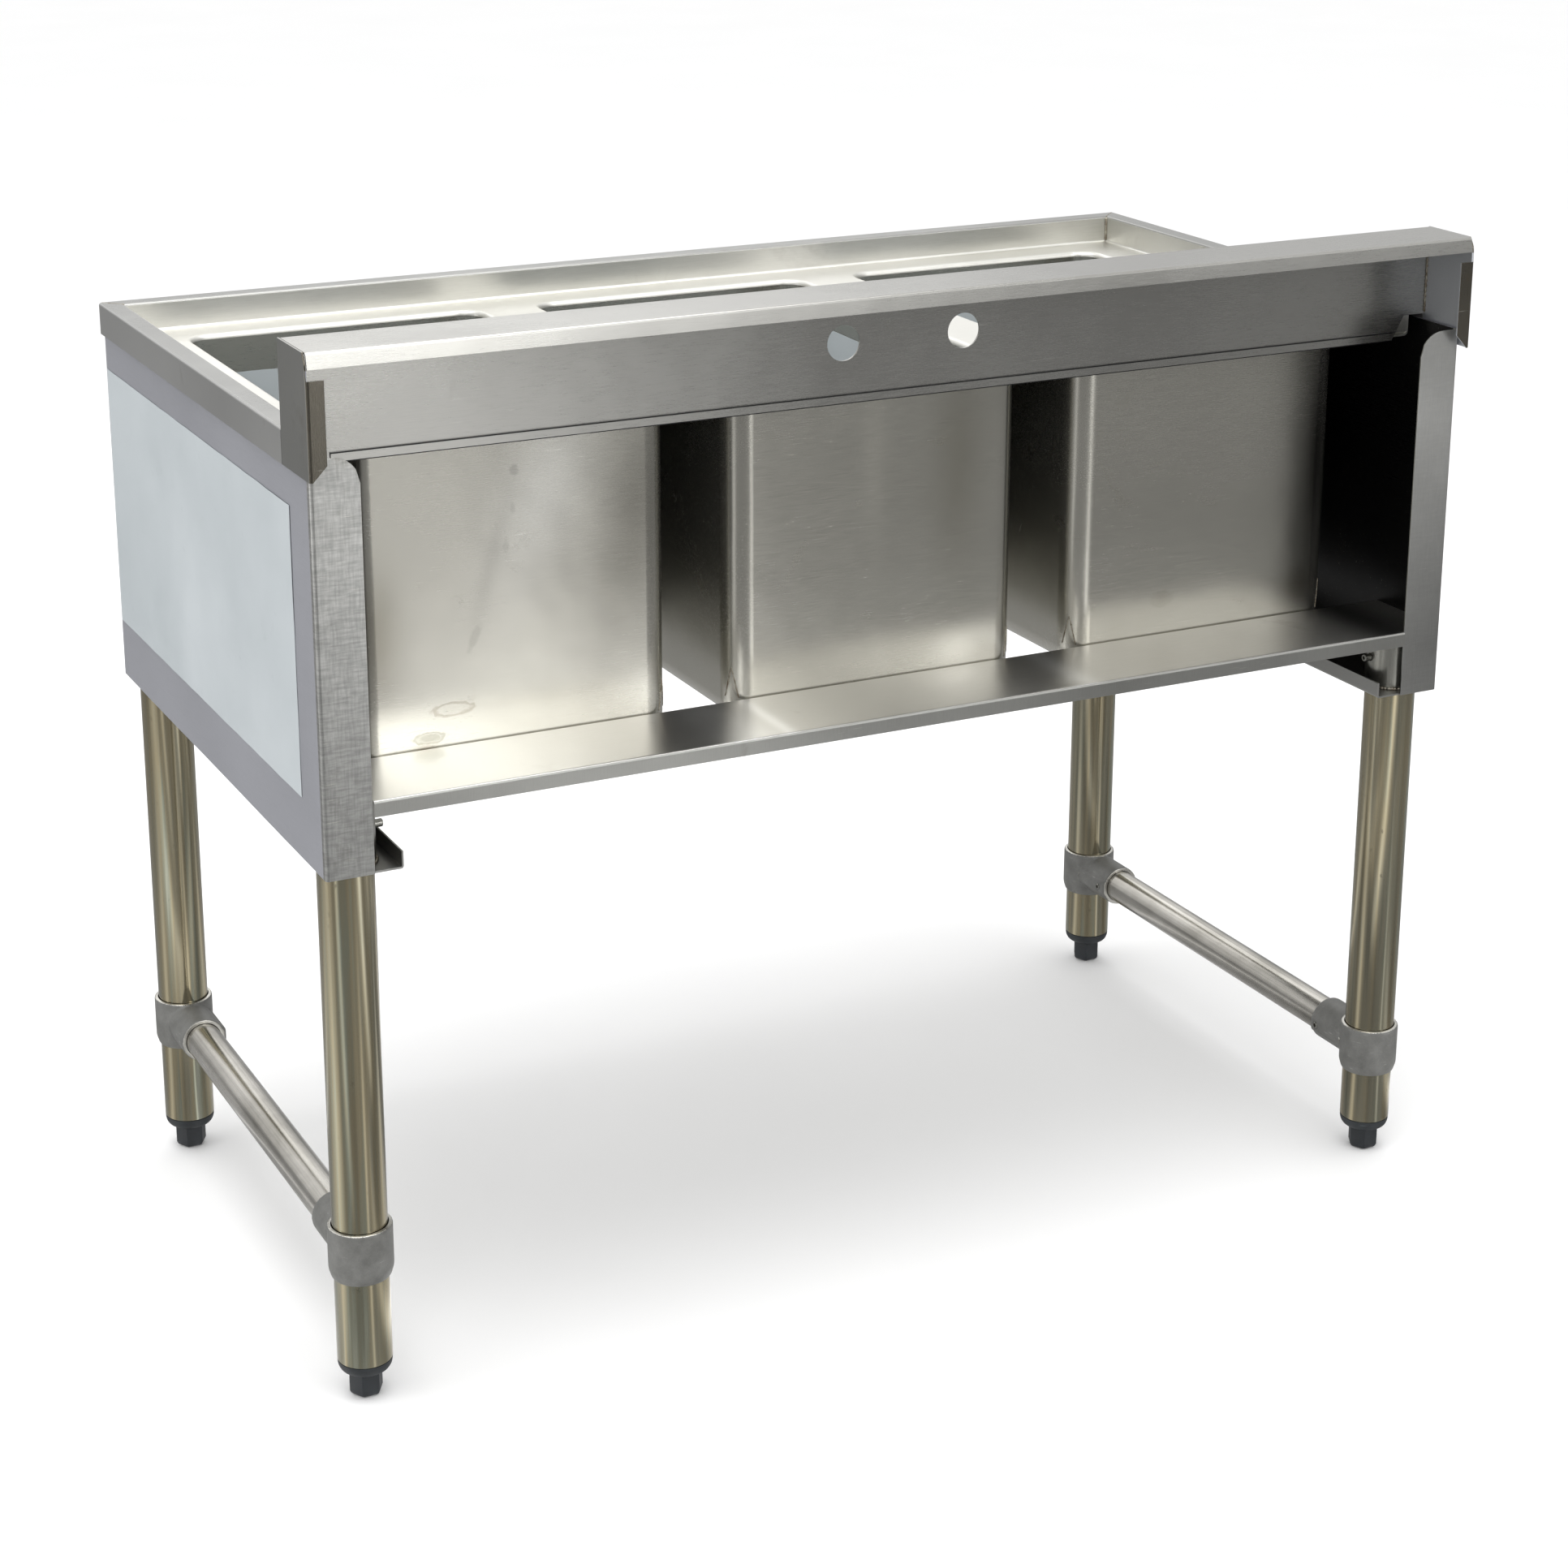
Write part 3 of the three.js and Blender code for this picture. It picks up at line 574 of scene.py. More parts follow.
MAT = {
    "deck": sheet_metal("deck_sheet", (222, 221, 216), (208, 207, 200), (0.34, 0.44), "x", 0.20, seed=1.0),
    # The two rim materials below are darker copies of the deck sheet for the rim's top and outer faces: painted shade.
    "rim": sheet_metal("rim_top_painted_shade_sheet", (160, 160, 157), (144, 144, 141), (0.26, 0.34), "x", 0.3, seed=13.0),
    "rim_side": sheet_metal("rim_side_painted_shade_sheet", (198, 198, 196), (180, 180, 178), (0.34, 0.44), "x", 0.3, seed=14.0),
    # the splash sheet's ramp paints it darker towards -X and brighter towards +X: a painted reflection
    "splash": sheet_metal("splash_sheet", (186, 185, 181), (172, 171, 166), (0.25, 0.33), "x", 0.25, scratches=0.3, wobble=0.2, seed=2.0, painted_light_ramp=(0, 0.06, 0.36, 0.80, 1.10)),
    "cap": sheet_metal("cap_sheet", (166, 166, 162), (144, 144, 140), (0.28, 0.40), "z", 0.35, seed=3.0),
    # The turned-in sheet is a darker copy of the cap sheet for the cap's rear flange: painted shade.
    "turn": sheet_metal("turned_in_painted_shade_sheet", (122, 118, 108), (88, 84, 76), (0.24, 0.38), "z", 0.7, seed=12.0),
    # the bowl sheet's ramp paints it brighter towards the bottom of the bowls: a painted highlight
    "bowl": sheet_metal("bowl_sheet_metal", (186, 184, 176), (172, 170, 161), (0.22, 0.29), "x", 0.40, scratches=0.2, grain_strength=0.02, wobble=0.22, seed=4.0, painted_light_ramp=(2, 0.475, 0.57, 1.24, 1.0), stains_and_painted_light=WATER_MARKS_AND_PAINTED_REFLECTIONS),
    "side": sheet_metal("side_sheet_metal", (170, 171, 177), (160, 161, 167), (0.46, 0.56), "y", 0.10, scratches=0.25, wobble=0.15, metallic=0.6, seed=5.0),
    # The bright bluish sheet below is a lighter copy for the caps' inner faces: a painted reflection.
    "inner": sheet_metal("cap_inside_painted_reflection_sheet", (236, 239, 245), (222, 225, 232), (0.42, 0.52), "x", 0.2, scratches=0.2, seed=12.0),
    # the flange sheet's ramp paints it darker at the bottom and brighter at the top: painted shade and painted light
    "flange": sheet_metal("flange_sheet", (192, 192, 189), (160, 160, 157), (0.30, 0.44), "z", 0.6, grain_strength=0.3, scratches=0.8, seed=6.0, painted_light_ramp=(2, 0.46, 0.66, 0.78, 1.34), weave=0.6),
    "ledge": sheet_metal("ledge_sheet", (220, 219, 215), (200, 198, 193), (0.30, 0.42), "x", 0.35, scratches=0.6, wobble=0.3, seed=7.0, stains_and_painted_light=LEDGE_PAINTED_REFLECTIONS),
    "channel": sheet_metal("channel_sheet", (170, 170, 167), (140, 139, 135), (0.26, 0.40), "y", 0.35, seed=8.0),
    # The dark sheet below is painted shade, put on faces inside and under the sink and along folds.
    "dark": sheet_metal("painted_shade_sheet", (66, 66, 66), (44, 44, 44), (0.26, 0.38), "y", 0.5, seed=9.0),
    "leg": tube_zinc("zinc_tube"),
    "cross": tube_stainless("satin_tube"),
    "tee": cast_grey("cast_fitting"),
    # The rim material below is a lighter, shinier copy for the fittings' end faces: wear, and a painted highlight.
    "rim_wear_and_highlight": cast_grey("cast_rim_wear_and_painted_highlight", (214, 212, 204), (176, 174, 168), (0.24, 0.36), 0.85),
    "zinc": sheet_metal("zinc_plate", (176, 176, 170), (134, 133, 126), (0.22, 0.36), "z", 0.3, grain_strength=0.06, seed=10.0),
    "insert": moulded("insert_plastic_dark", (38, 42, 45), (0.5, 0.65)),
    "foot": moulded("foot_plastic_dark", (34, 38, 42), (0.5, 0.65)),
    "rubber": moulded("black_rubber", (34, 33, 31), (0.65, 0.8)),
    "drain": sheet_metal("polished_drain_metal", (214, 213, 209), (188, 187, 182), (0.10, 0.22), "z", 0.15, grain_strength=0.03, wobble=0.1, seed=11.0),
    "film": film("protective_film_pale"),
    "weld": weld("weld_bead"),
}


def paint(o, *mats):
    o.data.materials.clear()
    for m in mats:
        o.data.materials.append(MAT[m])
    return o


def done(o, slot, *nodes, body="root", mats=None, angle=32.0, normals=True):
    if mats:
        paint(o, *mats)
    if normals:
        smooth(o, angle)
    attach(o, body)
    if nodes:
        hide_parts(*nodes)
    return o


def by_place(o, index, test):
    """Gives the faces whose centre (mm) and normal pass the test the material at index."""
    for f in o.data.polygons:
        if test(f.center / MM, f.normal):
            f.material_index = index
    return o


# ---------------------------------------------------------------------------
# camera
# ---------------------------------------------------------------------------
cam = bpy.data.objects.new("camera", bpy.data.cameras.new("camera"))
scene.collection.objects.link(cam)
yaw, pitch, roll = math.radians(206.622), math.radians(-16.861), math.radians(0.129)
fwd = Vector((math.sin(yaw) * math.cos(pitch), math.cos(yaw) * math.cos(pitch), math.sin(pitch)))
right = Vector((math.cos(yaw), -math.sin(yaw), 0))
up = right.cross(fwd)
right, up = right * math.cos(roll) + up * math.sin(roll), up * math.cos(roll) - right * math.sin(roll)
cam.matrix_world = Matrix((
    (right.x, up.x, -fwd.x, 1.1121),
    (right.y, up.y, -fwd.y, 2.2288),
    (right.z, up.z, -fwd.z, 1.2520),
    (0, 0, 0, 1),
))
cam.data.sensor_width = 36.0
cam.data.lens = 3895.7 / 1932 * 36.0
cam.data.shift_x, cam.data.shift_y = 0.0, -0.12
cam.data.clip_start, cam.data.clip_end = 0.05, 60
scene.camera = cam

# ---------------------------------------------------------------------------
# deck with its raised rim
# ---------------------------------------------------------------------------
LIP = 4.0                                       # radius where the deck rolls down into a bowl


def corner_path(d):
    """Plan of the rim at inset d from its outer face: rear left, two front corners, rear right."""
    r = max(2.6 - d, 0.0)
    x, y = HALF - d, FRONT + d
    pts = [(x, SPLASH_Y - GAP)]
    n = 5
    for cx, cy, a0, a1 in ((x - r, y + r, 0, -90), (-x + r, y + r, -90, -180)):
        for k in range(n + 1):
            a = math.radians(a0 + (a1 - a0) * k / n)
            pts.append((cx + r * math.cos(a), cy + r * math.sin(a)))
    pts.append((-x, SPLASH_Y - GAP))
    return pts


rim_prof = fillet([(0.0, SKIRT), (0.0, RIM_TOP), (RIM_W, RIM_TOP), (RIM_W, DECK), (RIM_W + 12.0, DECK)], [2.2, 2.0, 2.6], 6)
verts, faces = [], []
paths = [corner_path(d) for d, z in rim_prof]
m = len(paths[0])
for (d, z), path in zip(rim_prof, paths):
    verts += [(x, y, z) for x, y in path]
for i in range(len(rim_prof) - 1):
    for j in range(m - 1):
        faces.append((i * m + j, i * m + j + 1, (i + 1) * m + j + 1, (i + 1) * m + j))
rim = make("deck_rim", verts, faces)

# the flat of the deck, with three openings, cut as one fill
inner = [(x, y) for x, y in (paths[-1][0], (HALF - RIM_W - 12, FRONT + RIM_W + 12), (-HALF + RIM_W + 12, FRONT + RIM_W + 12), paths[-1][-1])]
bm = bmesh.new()
loops = [inner]
for _, k in BOWLS:
    c = k * PITCH
    loops.append(rounded(c - BOWL_W / 2 - LIP, c + BOWL_W / 2 + LIP, BOWL_Y0 - LIP, BOWL_Y1 + LIP, BOWL_R + LIP, 12, 10))
for loop in loops:
    vs = [bm.verts.new((x * MM, y * MM, DECK * MM)) for x, y in loop]
    for i in range(len(vs)):
        bm.edges.new((vs[i], vs[(i + 1) % len(vs)]))
bmesh.ops.triangle_fill(bm, edges=bm.edges[:], use_beauty=True, use_dissolve=False, normal=(0, 0, 1))
me = bpy.data.meshes.new("deck_flat")
bm.to_mesh(me)
bm.free()
flat = bpy.data.objects.new("deck_flat", me)
scene.collection.objects.link(flat)

lips = []
for name, k in BOWLS:
    c = k * PITCH
    verts, faces = [], []
    n_lip = 6
    ring = None
    for j in range(n_lip + 1):
        a = math.pi / 2 * j / n_lip
        out = LIP * (1 - math.sin(a))
        z = DECK - LIP + LIP * math.cos(a)
        ring = rounded(c - BOWL_W / 2 - out, c + BOWL_W / 2 + out, BOWL_Y0 - out, BOWL_Y1 + out, BOWL_R + out, 12, 10)
        verts += [(x, y, z) for x, y in ring]
    n = len(ring)
    for j in range(n_lip):
        for i in range(n):
            q = (i + 1) % n
            faces.append((j * n + i, j * n + q, (j + 1) * n + q, (j + 1) * n + i))
    lips.append(make(f"lip_{name}", verts, faces))
deck = join("deck_top", [flat, rim, *lips])
tidy(deck, 8e-6)
face_out(deck, (0, -240, DECK), (0, 0, 1))
thick(deck, T)
edges(deck, 0.3, 2, 50)
paint(deck, "deck", "rim", "rim_side")
# the rim's top and outer faces get the darker rim copies: painted shade
by_place(deck, 1, lambda c, n: c.z > RIM_TOP - 3.0 and n.z > 0.2)
by_place(deck, 2, lambda c, n: (abs(c.x) > HALF - 2.8 or c.y < FRONT + 2.8) and abs(n.z) < 0.8)
done(deck, "brushed_sheet", "deck_with_raised_rim", angle=40)

# ---------------------------------------------------------------------------
# raised back: sheet, top return and lip, with the faucet holes and end notches
# ---------------------------------------------------------------------------
END = HALF - T - GAP
prof = fillet([(SPLASH_Y, SPLASH_BOTTOM), (SPLASH_Y, SPLASH_TOP), (RETURN_REAR + 0.6, SPLASH_TOP), (LIP_REAR, LIP_BOTTOM)], [2.8, 2.4], 7)
splash = strip("splash_sheet_body", "x", dense(prof, 9.0), -END, END, 60)
face_out(splash, (0, SPLASH_Y, 740), (0, -1, 0))
thick(splash, T)
for s in (1, -1):
    boolean(splash, lathe("cut", [(FAUCET_D / 2, SPLASH_Y - 6), (FAUCET_D / 2, SPLASH_Y + 9)], s * FAUCET_PITCH / 2, FAUCET_Z, 72, axis="y"))
    pts = [(NOTCH_IN, SPLASH_BOTTOM - 5), (END + 5, SPLASH_BOTTOM - 5), (END + 5, NOTCH_TOP), (NOTCH_OUT, NOTCH_TOP), (NOTCH_IN, SPLASH_BOTTOM)]
    boolean(splash, prism("cut", "y", [(s * u, v) for u, v in pts], SPLASH_Y - 5, SPLASH_Y + 10))
edges(splash, 0.3, 2, 45)
done(splash, "brushed_sheet", "backsplash", mats=["splash"], angle=35)

# the deck turns up into the back in a small cove, which also closes the corners behind the notches
cove = strip("deck_back_cove", "x", fillet([(SPLASH_Y - 7.5, DECK + 0.25), (SPLASH_Y - 0.35, DECK + 0.25), (SPLASH_Y - 0.35, 733)], 3.4, 8), -(HALF - RIM_W) + 0.2, HALF - RIM_W - 0.2, 60)
face_out(cove, (0, SPLASH_Y - 7, DECK), (0, 0, 1))
thick(cove, 0.2, -1.0)
done(cove, "brushed_sheet", mats=["deck"], angle=40)

# hem folded up behind the lower edge, with its thin shadow line
z0, z1 = SPLASH_BOTTOM + 0.2, SPLASH_BOTTOM + 7.5
hem = strip("splash_hem", "x", [(SPLASH_Y + 1.75, z) for z in (z0, z0 + 0.7, z0 + 3.5, z1 - 1.0, z1)], -NOTCH_IN + 1, NOTCH_IN - 1, 60)
face_out(hem, (0, SPLASH_Y + 1.8, SPLASH_BOTTOM + 3), (0, 1, 0))
thick(hem, 1.0, 1.0)
paint(hem, "splash", "dark")
# the hem's top and bottom bands get the dark sheet: painted shadow lines
by_place(hem, 1, lambda c, n: c.z > z1 - 1.0 or c.z < z0 + 0.7)
done(hem, "brushed_sheet")

# ---------------------------------------------------------------------------
# end caps, end panels: sheets folded in at the rear
# ---------------------------------------------------------------------------
for side, s in SIDES:
    x = HALF
    prof = fillet([(SPLASH_Y + 0.2, x), (REAR, x), (REAR, x - CAP_FLANGE)], 2.6, 7)

    def top(u, v, x=x):
        if v < x - 0.5:
            return CAP_KINK
        return SPLASH_TOP if u <= RETURN_REAR else SPLASH_TOP - (u - RETURN_REAR) / (REAR - RETURN_REAR) * (SPLASH_TOP - CAP_KINK)

    def bottom(u, v, x=x):
        return SKIRT + max(0.0, (x - 2.6 - v) / (CAP_FLANGE - 2.6)) * 11.0

    prof = dense([(SPLASH_Y + 0.2, x), *[(u, v) for u, v in prof[1:]]], 4.0)
    cap = strip(f"end_cap_sheet_{side}", "z", [(s * v, u) for u, v in prof],
                lambda a, b, s=s: bottom(b, s * a), lambda a, b, s=s: top(b, s * a), 8)
    face_out(cap, (s * x, 230, 750), (s, 0, 0))
    thick(cap, T)
    edges(cap, 0.3, 2, 50)
    paint(cap, "cap", "turn", "inner")
    # the cap's rear flange gets the darker turned-in copy: painted shade
    by_place(cap, 1, lambda c, n, s=s: n.y > 0.4 and c.y > 258)
    # the cap's inner faces get the bright bluish copy: a painted reflection
    by_place(cap, 2, lambda c, n, s=s: n.x * s < -0.5)
    done(cap, "brushed_sheet", f"end_cap_{side}", angle=35)

    prof = fillet([(PANEL_FRONT, PANEL_OUT), (PANEL_REAR, PANEL_OUT), (PANEL_REAR, FLANGE_IN)], 2.8, 7)

    def ptop(u, v):
        if v > FLANGE_IN + FLANGE_R or u < PANEL_REAR - 3:
            return PANEL_TOP
        d = FLANGE_IN + FLANGE_R - v
        return PANEL_TOP - FLANGE_R + math.sqrt(max(FLANGE_R ** 2 - d * d, 0.0))

    prof = dense(prof, 3.0 if True else 9.0)
    panel = strip(f"end_panel_sheet_{side}", "z", [(s * v, u) for u, v in prof], PANEL_BOTTOM, lambda a, b, s=s: ptop(b, s * a), 16)
    face_out(panel, (s * PANEL_OUT, 0, 560), (s, 0, 0))
    wave(panel, 0.35, 160, "x", 3.0 + s, lambda a, b, c, s=s: 1.0 if b < 235 and s * a > 470 else 0.0)
    thick(panel, T)
    edges(panel, 0.3, 2, 50)
    paint(panel, "side", "flange", "dark")
    by_place(panel, 1, lambda c, n: c.y > 251)
    # the panel's inner faces get the dark sheet: painted shade
    by_place(panel, 2, lambda c, n, s=s: c.y <= 251 and n.x * s < -0.5)
    done(panel, "side_sheet", f"end_panel_{side}", angle=35)

# ---------------------------------------------------------------------------
# front apron, rear ledge, leg channels
# ---------------------------------------------------------------------------
aend = PANEL_OUT - T - GAP
prof = fillet([(PANEL_FRONT, PANEL_TOP), (PANEL_FRONT, PANEL_BOTTOM), (PANEL_FRONT + 18, PANEL_BOTTOM)], 2.4, 7)
prof = dense(prof, 14.0)
k = min(i for i, p in enumerate(prof) if p[1] < PANEL_BOTTOM + 2.6)
prof = prof[:k] + [(PANEL_FRONT, PANEL_BOTTOM + 2.9), (PANEL_FRONT, PANEL_BOTTOM + 2.7)] + prof[k:]
apron = strip("front_apron_sheet", "x", prof, lambda u, v: -aend if v > PANEL_BOTTOM + 2.8 else -CHANNEL_IN + 0.6,
              lambda u, v: aend if v > PANEL_BOTTOM + 2.8 else CHANNEL_IN - 0.6, 48)
face_out(apron, (0, PANEL_FRONT, 560), (0, -1, 0))
wave(apron, 0.35, 170, "y", 8.0, lambda a, b, c: 1.0 if c > 450 and abs(a) < 450 else 0.0)
thick(apron, T)
edges(apron, 0.3, 2, 50)
paint(apron, "side", "dark")
# the apron's inner face gets the dark sheet: painted shade
by_place(apron, 1, lambda c, n: n.y > 0.5)
done(apron, "side_sheet", "front_apron", angle=35)

wide, narrow = aend, FLANGE_IN - 0.5
notch_y = PANEL_REAR - T - GAP
prof = fillet([(SHELF_FRONT, SHELF_TOP - SHELF_LIP), (SHELF_FRONT, SHELF_TOP), (SHELF_REAR, SHELF_TOP), (SHELF_REAR, SHELF_TOP - SHELF_LIP)], 2.4, 7)
prof = dense(prof, 6.0)
k = max(i for i, p in enumerate(prof) if p[0] <= notch_y)
prof = prof[:k + 1] + [(notch_y, SHELF_TOP), (notch_y + 0.01, SHELF_TOP)] + prof[k + 1:]
ledge = strip("rear_ledge_sheet", "x", prof, lambda u, v: -wide if u <= notch_y else -narrow, lambda u, v: wide if u <= notch_y else narrow, 80)
face_out(ledge, (0, 215, SHELF_TOP), (0, 0, 1))
wave(ledge, 0.5, 130, "z", 5.0, lambda a, b, c: 1.0 if 180 < b < 250 and c > 476 else 0.0)
thick(ledge, T)
edges(ledge, 0.3, 2, 50)
paint(ledge, "ledge", "cap")
# the ledge's rear lip gets the darker cap sheet: painted shade
by_place(ledge, 1, lambda c, n: c.y > SHELF_REAR - 1.5 and n.y > 0.6)
done(ledge, "brushed_sheet", "rear_ledge", angle=35)

for side, s in SIDES:
    y0, y1 = PANEL_FRONT + T + GAP, PANEL_REAR - T - GAP
    prof = fillet([(s * aend, PANEL_BOTTOM), (s * CHANNEL_IN, PANEL_BOTTOM), (s * CHANNEL_IN, CHANNEL_LIP)], 2.2, 7)
    ch = strip(f"leg_channel_sheet_{side}", "y", dense(prof, 8.0), y0, y1, 40)
    face_out(ch, (s * 440, 0, PANEL_BOTTOM), (0, 0, -1))
    thick(ch, T)
    for y in (LEG_RY, LEG_FY):
        boolean(ch, lathe("cut", [(LEG_R + 0.35, PANEL_BOTTOM - 8), (LEG_R + 0.35, PANEL_BOTTOM + 8)], s * LEG_X, y, 64))
    edges(ch, 0.3, 2, 50)
    done(ch, "brushed_sheet", f"leg_channel_{side}", mats=["channel"], angle=35)

# ---------------------------------------------------------------------------
# bowls
# ---------------------------------------------------------------------------
def bowl_rings(cx, top):
    """Rings from the floor up to top."""
    fr = BOWL_FR
    rings = []
    steps = 8
    for k in range(steps + 1):
        a = math.pi / 2 * k / steps
        z = BOWL_FLOOR + fr * (1 - math.cos(a))
        inset = fr * (1 - math.sin(a))
        rings.append((z, inset, max(BOWL_R - inset * 0.3, 3.0)))
    z = BOWL_FLOOR + fr
    while z < top - 1:
        z = min(z + 20.0, top)
        rings.append((z, 0.0, BOWL_R))
    out = []
    for z, inset, rr in rings:
        pts = rounded(cx - BOWL_W / 2 + inset, cx + BOWL_W / 2 - inset, BOWL_Y0 + inset, BOWL_Y1 - inset, rr, 12, 12)
        out.append([(x, y, z) for x, y in pts])
    return out


def bowl_surface(name, cx, top):
    rings = bowl_rings(cx, top)
    n = len(rings[0])
    # floor: rings shrinking to the drain hole
    floor = []
    steps = 9
    edge = rings[0]
    for k in range(1, steps + 1):
        f = k / steps
        ring = []
        for x, y, z in edge:
            dx, dy = x - cx, y - DRAIN_Y
            a = math.atan2(dy, dx)
            hx, hy = cx + 24 * math.cos(a), DRAIN_Y + 24 * math.sin(a)
            ring.append((x + (hx - x) * f, y + (hy - y) * f, z))
        floor.append(ring)
    stack = floor[::-1] + rings
    verts = [p for ring in stack for p in ring]
    faces = []
    for j in range(len(stack) - 1):
        for i in range(n):
            q = (i + 1) % n
            faces.append((j * n + i, j * n + q, (j + 1) * n + q, (j + 1) * n + i))
    o = make(name, verts, faces)
    face_out(o, (cx + BOWL_W / 2, 0, 600), (-1, 0, 0))
    return o


for name, k in BOWLS:
    cx = k * PITCH
    b = bowl_surface(f"bowl_shell_{name}", cx, DECK - LIP)
    wave(b, 0.45, 120, "y", 4.0 + k, lambda x, y, z: 1.0 if (y > 160 or y < -205) and 500 < z < 690 and abs(x - cx) < 100 else 0.0)
    thick(b, T)
    edges(b, 0.25, 2, 60)
    done(b, "bowl_sheet", f"bowl_{name}", mats=["bowl"], angle=40)

# ---------------------------------------------------------------------------
# legs, sockets, screws, feet
# ---------------------------------------------------------------------------
def hex_screw(name, p, direction, length, r=3.0, socket=1.5):
    """A set screw with a six-sided socket, its open end at p, looking along direction."""
    d = Vector(direction).normalized()
    prof = [(0.0, -length), (r - 0.3, -length), (r, -length + 0.4), (r, -0.5), (r - 0.5, 0.0), (0.0, 0.0)]
    o = lathe(name, prof, 0, 0, 32)
    cut = lathe("cut", [(socket / math.cos(math.pi / 6), -2.2), (socket / math.cos(math.pi / 6), 2.0)], 0, 0, 6)
    boolean(o, cut)
    q = d.to_track_quat("Z", "Y")
    for v in o.data.vertices:
        v.co = q @ v.co + Vector(p) * MM
    return o


for name, x, y, s, side, d in LEGS:
    prof = [(LEG_R - T, LEG_B + 0.2), (LEG_R - 0.7, LEG_B), (LEG_R - 0.25, LEG_B + 0.1), (LEG_R, LEG_B + 0.5), (LEG_R, 246), (LEG_R, LEG_T), (LEG_R - T, LEG_T), (LEG_R - T, 246)]
    leg = lathe(f"leg_tube_{name}", prof, x, y, 80, closed=True)
    done(leg, "galvanised_leg", f"leg_{name}", mats=["leg"])

    z0, inner_r = PANEL_BOTTOM + T + GAP, LEG_R + 0.3
    prof = [(inner_r, z0), (SOCKET_R - 0.4, z0), (SOCKET_R, z0 + 0.5), (SOCKET_R, SOCKET_TOP - 1.5), (SOCKET_R - 1.2, SOCKET_TOP), (0.0, SOCKET_TOP), (0.0, SOCKET_TOP - T), (inner_r, SOCKET_TOP - T)]
    sock = lathe(f"leg_socket_body_{name}", prof, x, y, 72, closed=True)
    boolean(sock, lathe("cut", sorted([(3.4, x - s * (SOCKET_R + 2)), (3.4, x - s * (LEG_R - 3))], key=lambda q: q[1]), y, SOCKET_SCREW, 32, axis="x"))
    done(sock, "plated_hardware", f"leg_socket_{name}", mats=["zinc"], angle=40)
    scr = hex_screw(f"socket_set_screw_{name}", (x - s * (SOCKET_R + 6.4), y, SOCKET_SCREW), (-s, 0, 0), 7.6)
    done(scr, "plated_hardware", f"socket_screw_{name}", mats=["zinc"], angle=40)

    # foot insert: a plastic bush pressed into the tube, rounded in under it
    bore = STEM_R + 0.3
    low = FOOT_TOP + 0.4
    prof = [(bore, low), (13.0, low), (14.6, low + 0.6)]
    for j in range(9):
        a = math.pi / 2 * j / 8
        prof.append((14.6 + (LEG_R - 0.15 - 14.6) * math.sin(a), low + 0.6 + (LEG_B - 1.0 - low - 0.6) * (1 - math.cos(a))))
    prof += [(LEG_R - 0.15, LEG_B - 0.5), (LEG_R - 0.5, LEG_B - 0.3), (LEG_R - T - 0.35, LEG_B - 0.3), (LEG_R - T - 0.35, LEG_B + 27), (LEG_R - T - 1.2, LEG_B + 28), (bore, LEG_B + 28)]
    ins = lathe(f"foot_bush_{name}", prof, x, y, 72, closed=True)
    done(ins, "insert_plastic", f"foot_insert_{name}", mats=["insert"], angle=40)

    # foot: six-sided moulded base with chamfered ends on a threaded stem
    hexr = FOOT_FLATS / 2 / math.cos(math.pi / 6)
    base = lathe(f"foot_base_{name}", [(0.0, 0.0), (hexr - 3.2, 0.0), (hexr - 1.1, 1.3), (hexr, 3.8), (hexr, FOOT_TOP - 1.0), (hexr - 0.9, FOOT_TOP), (0.0, FOOT_TOP)], x, y, 6)
    edges(base, 0.7, 3, 25)
    prof = [(0.0, FOOT_TOP - 2.0)]
    z, h = FOOT_TOP - 2.0, 1.75
    while z < STEM_TOP - 2.4:
        prof += [(STEM_R - 0.85, z), (STEM_R, z + 0.55), (STEM_R, z + 0.8), (STEM_R - 0.85, z + 1.35)]
        z += h
    prof += [(STEM_R - 1.0, STEM_TOP - 0.6), (STEM_R - 1.6, STEM_TOP), (0.0, STEM_TOP)]
    stem = lathe(f"foot_stem_{name}", prof, x, y, 32)
    boolean(base, stem, "UNION")
    done(base, "foot_plastic", f"foot_{name}", body=f"levelling_{name}", mats=["foot"], angle=35)

# ---------------------------------------------------------------------------
# tees and cross tubes
# ---------------------------------------------------------------------------
def remesh(o, size):
    m = o.modifiers.new("r", "REMESH")
    m.mode = "VOXEL"
    m.voxel_size = size * MM
    m.use_smooth_shade = True
    bake(o)
    m = o.modifiers.new("s", "CORRECTIVE_SMOOTH")
    m.iterations = 6
    m.use_only_smooth = True
    bake(o)
    return o


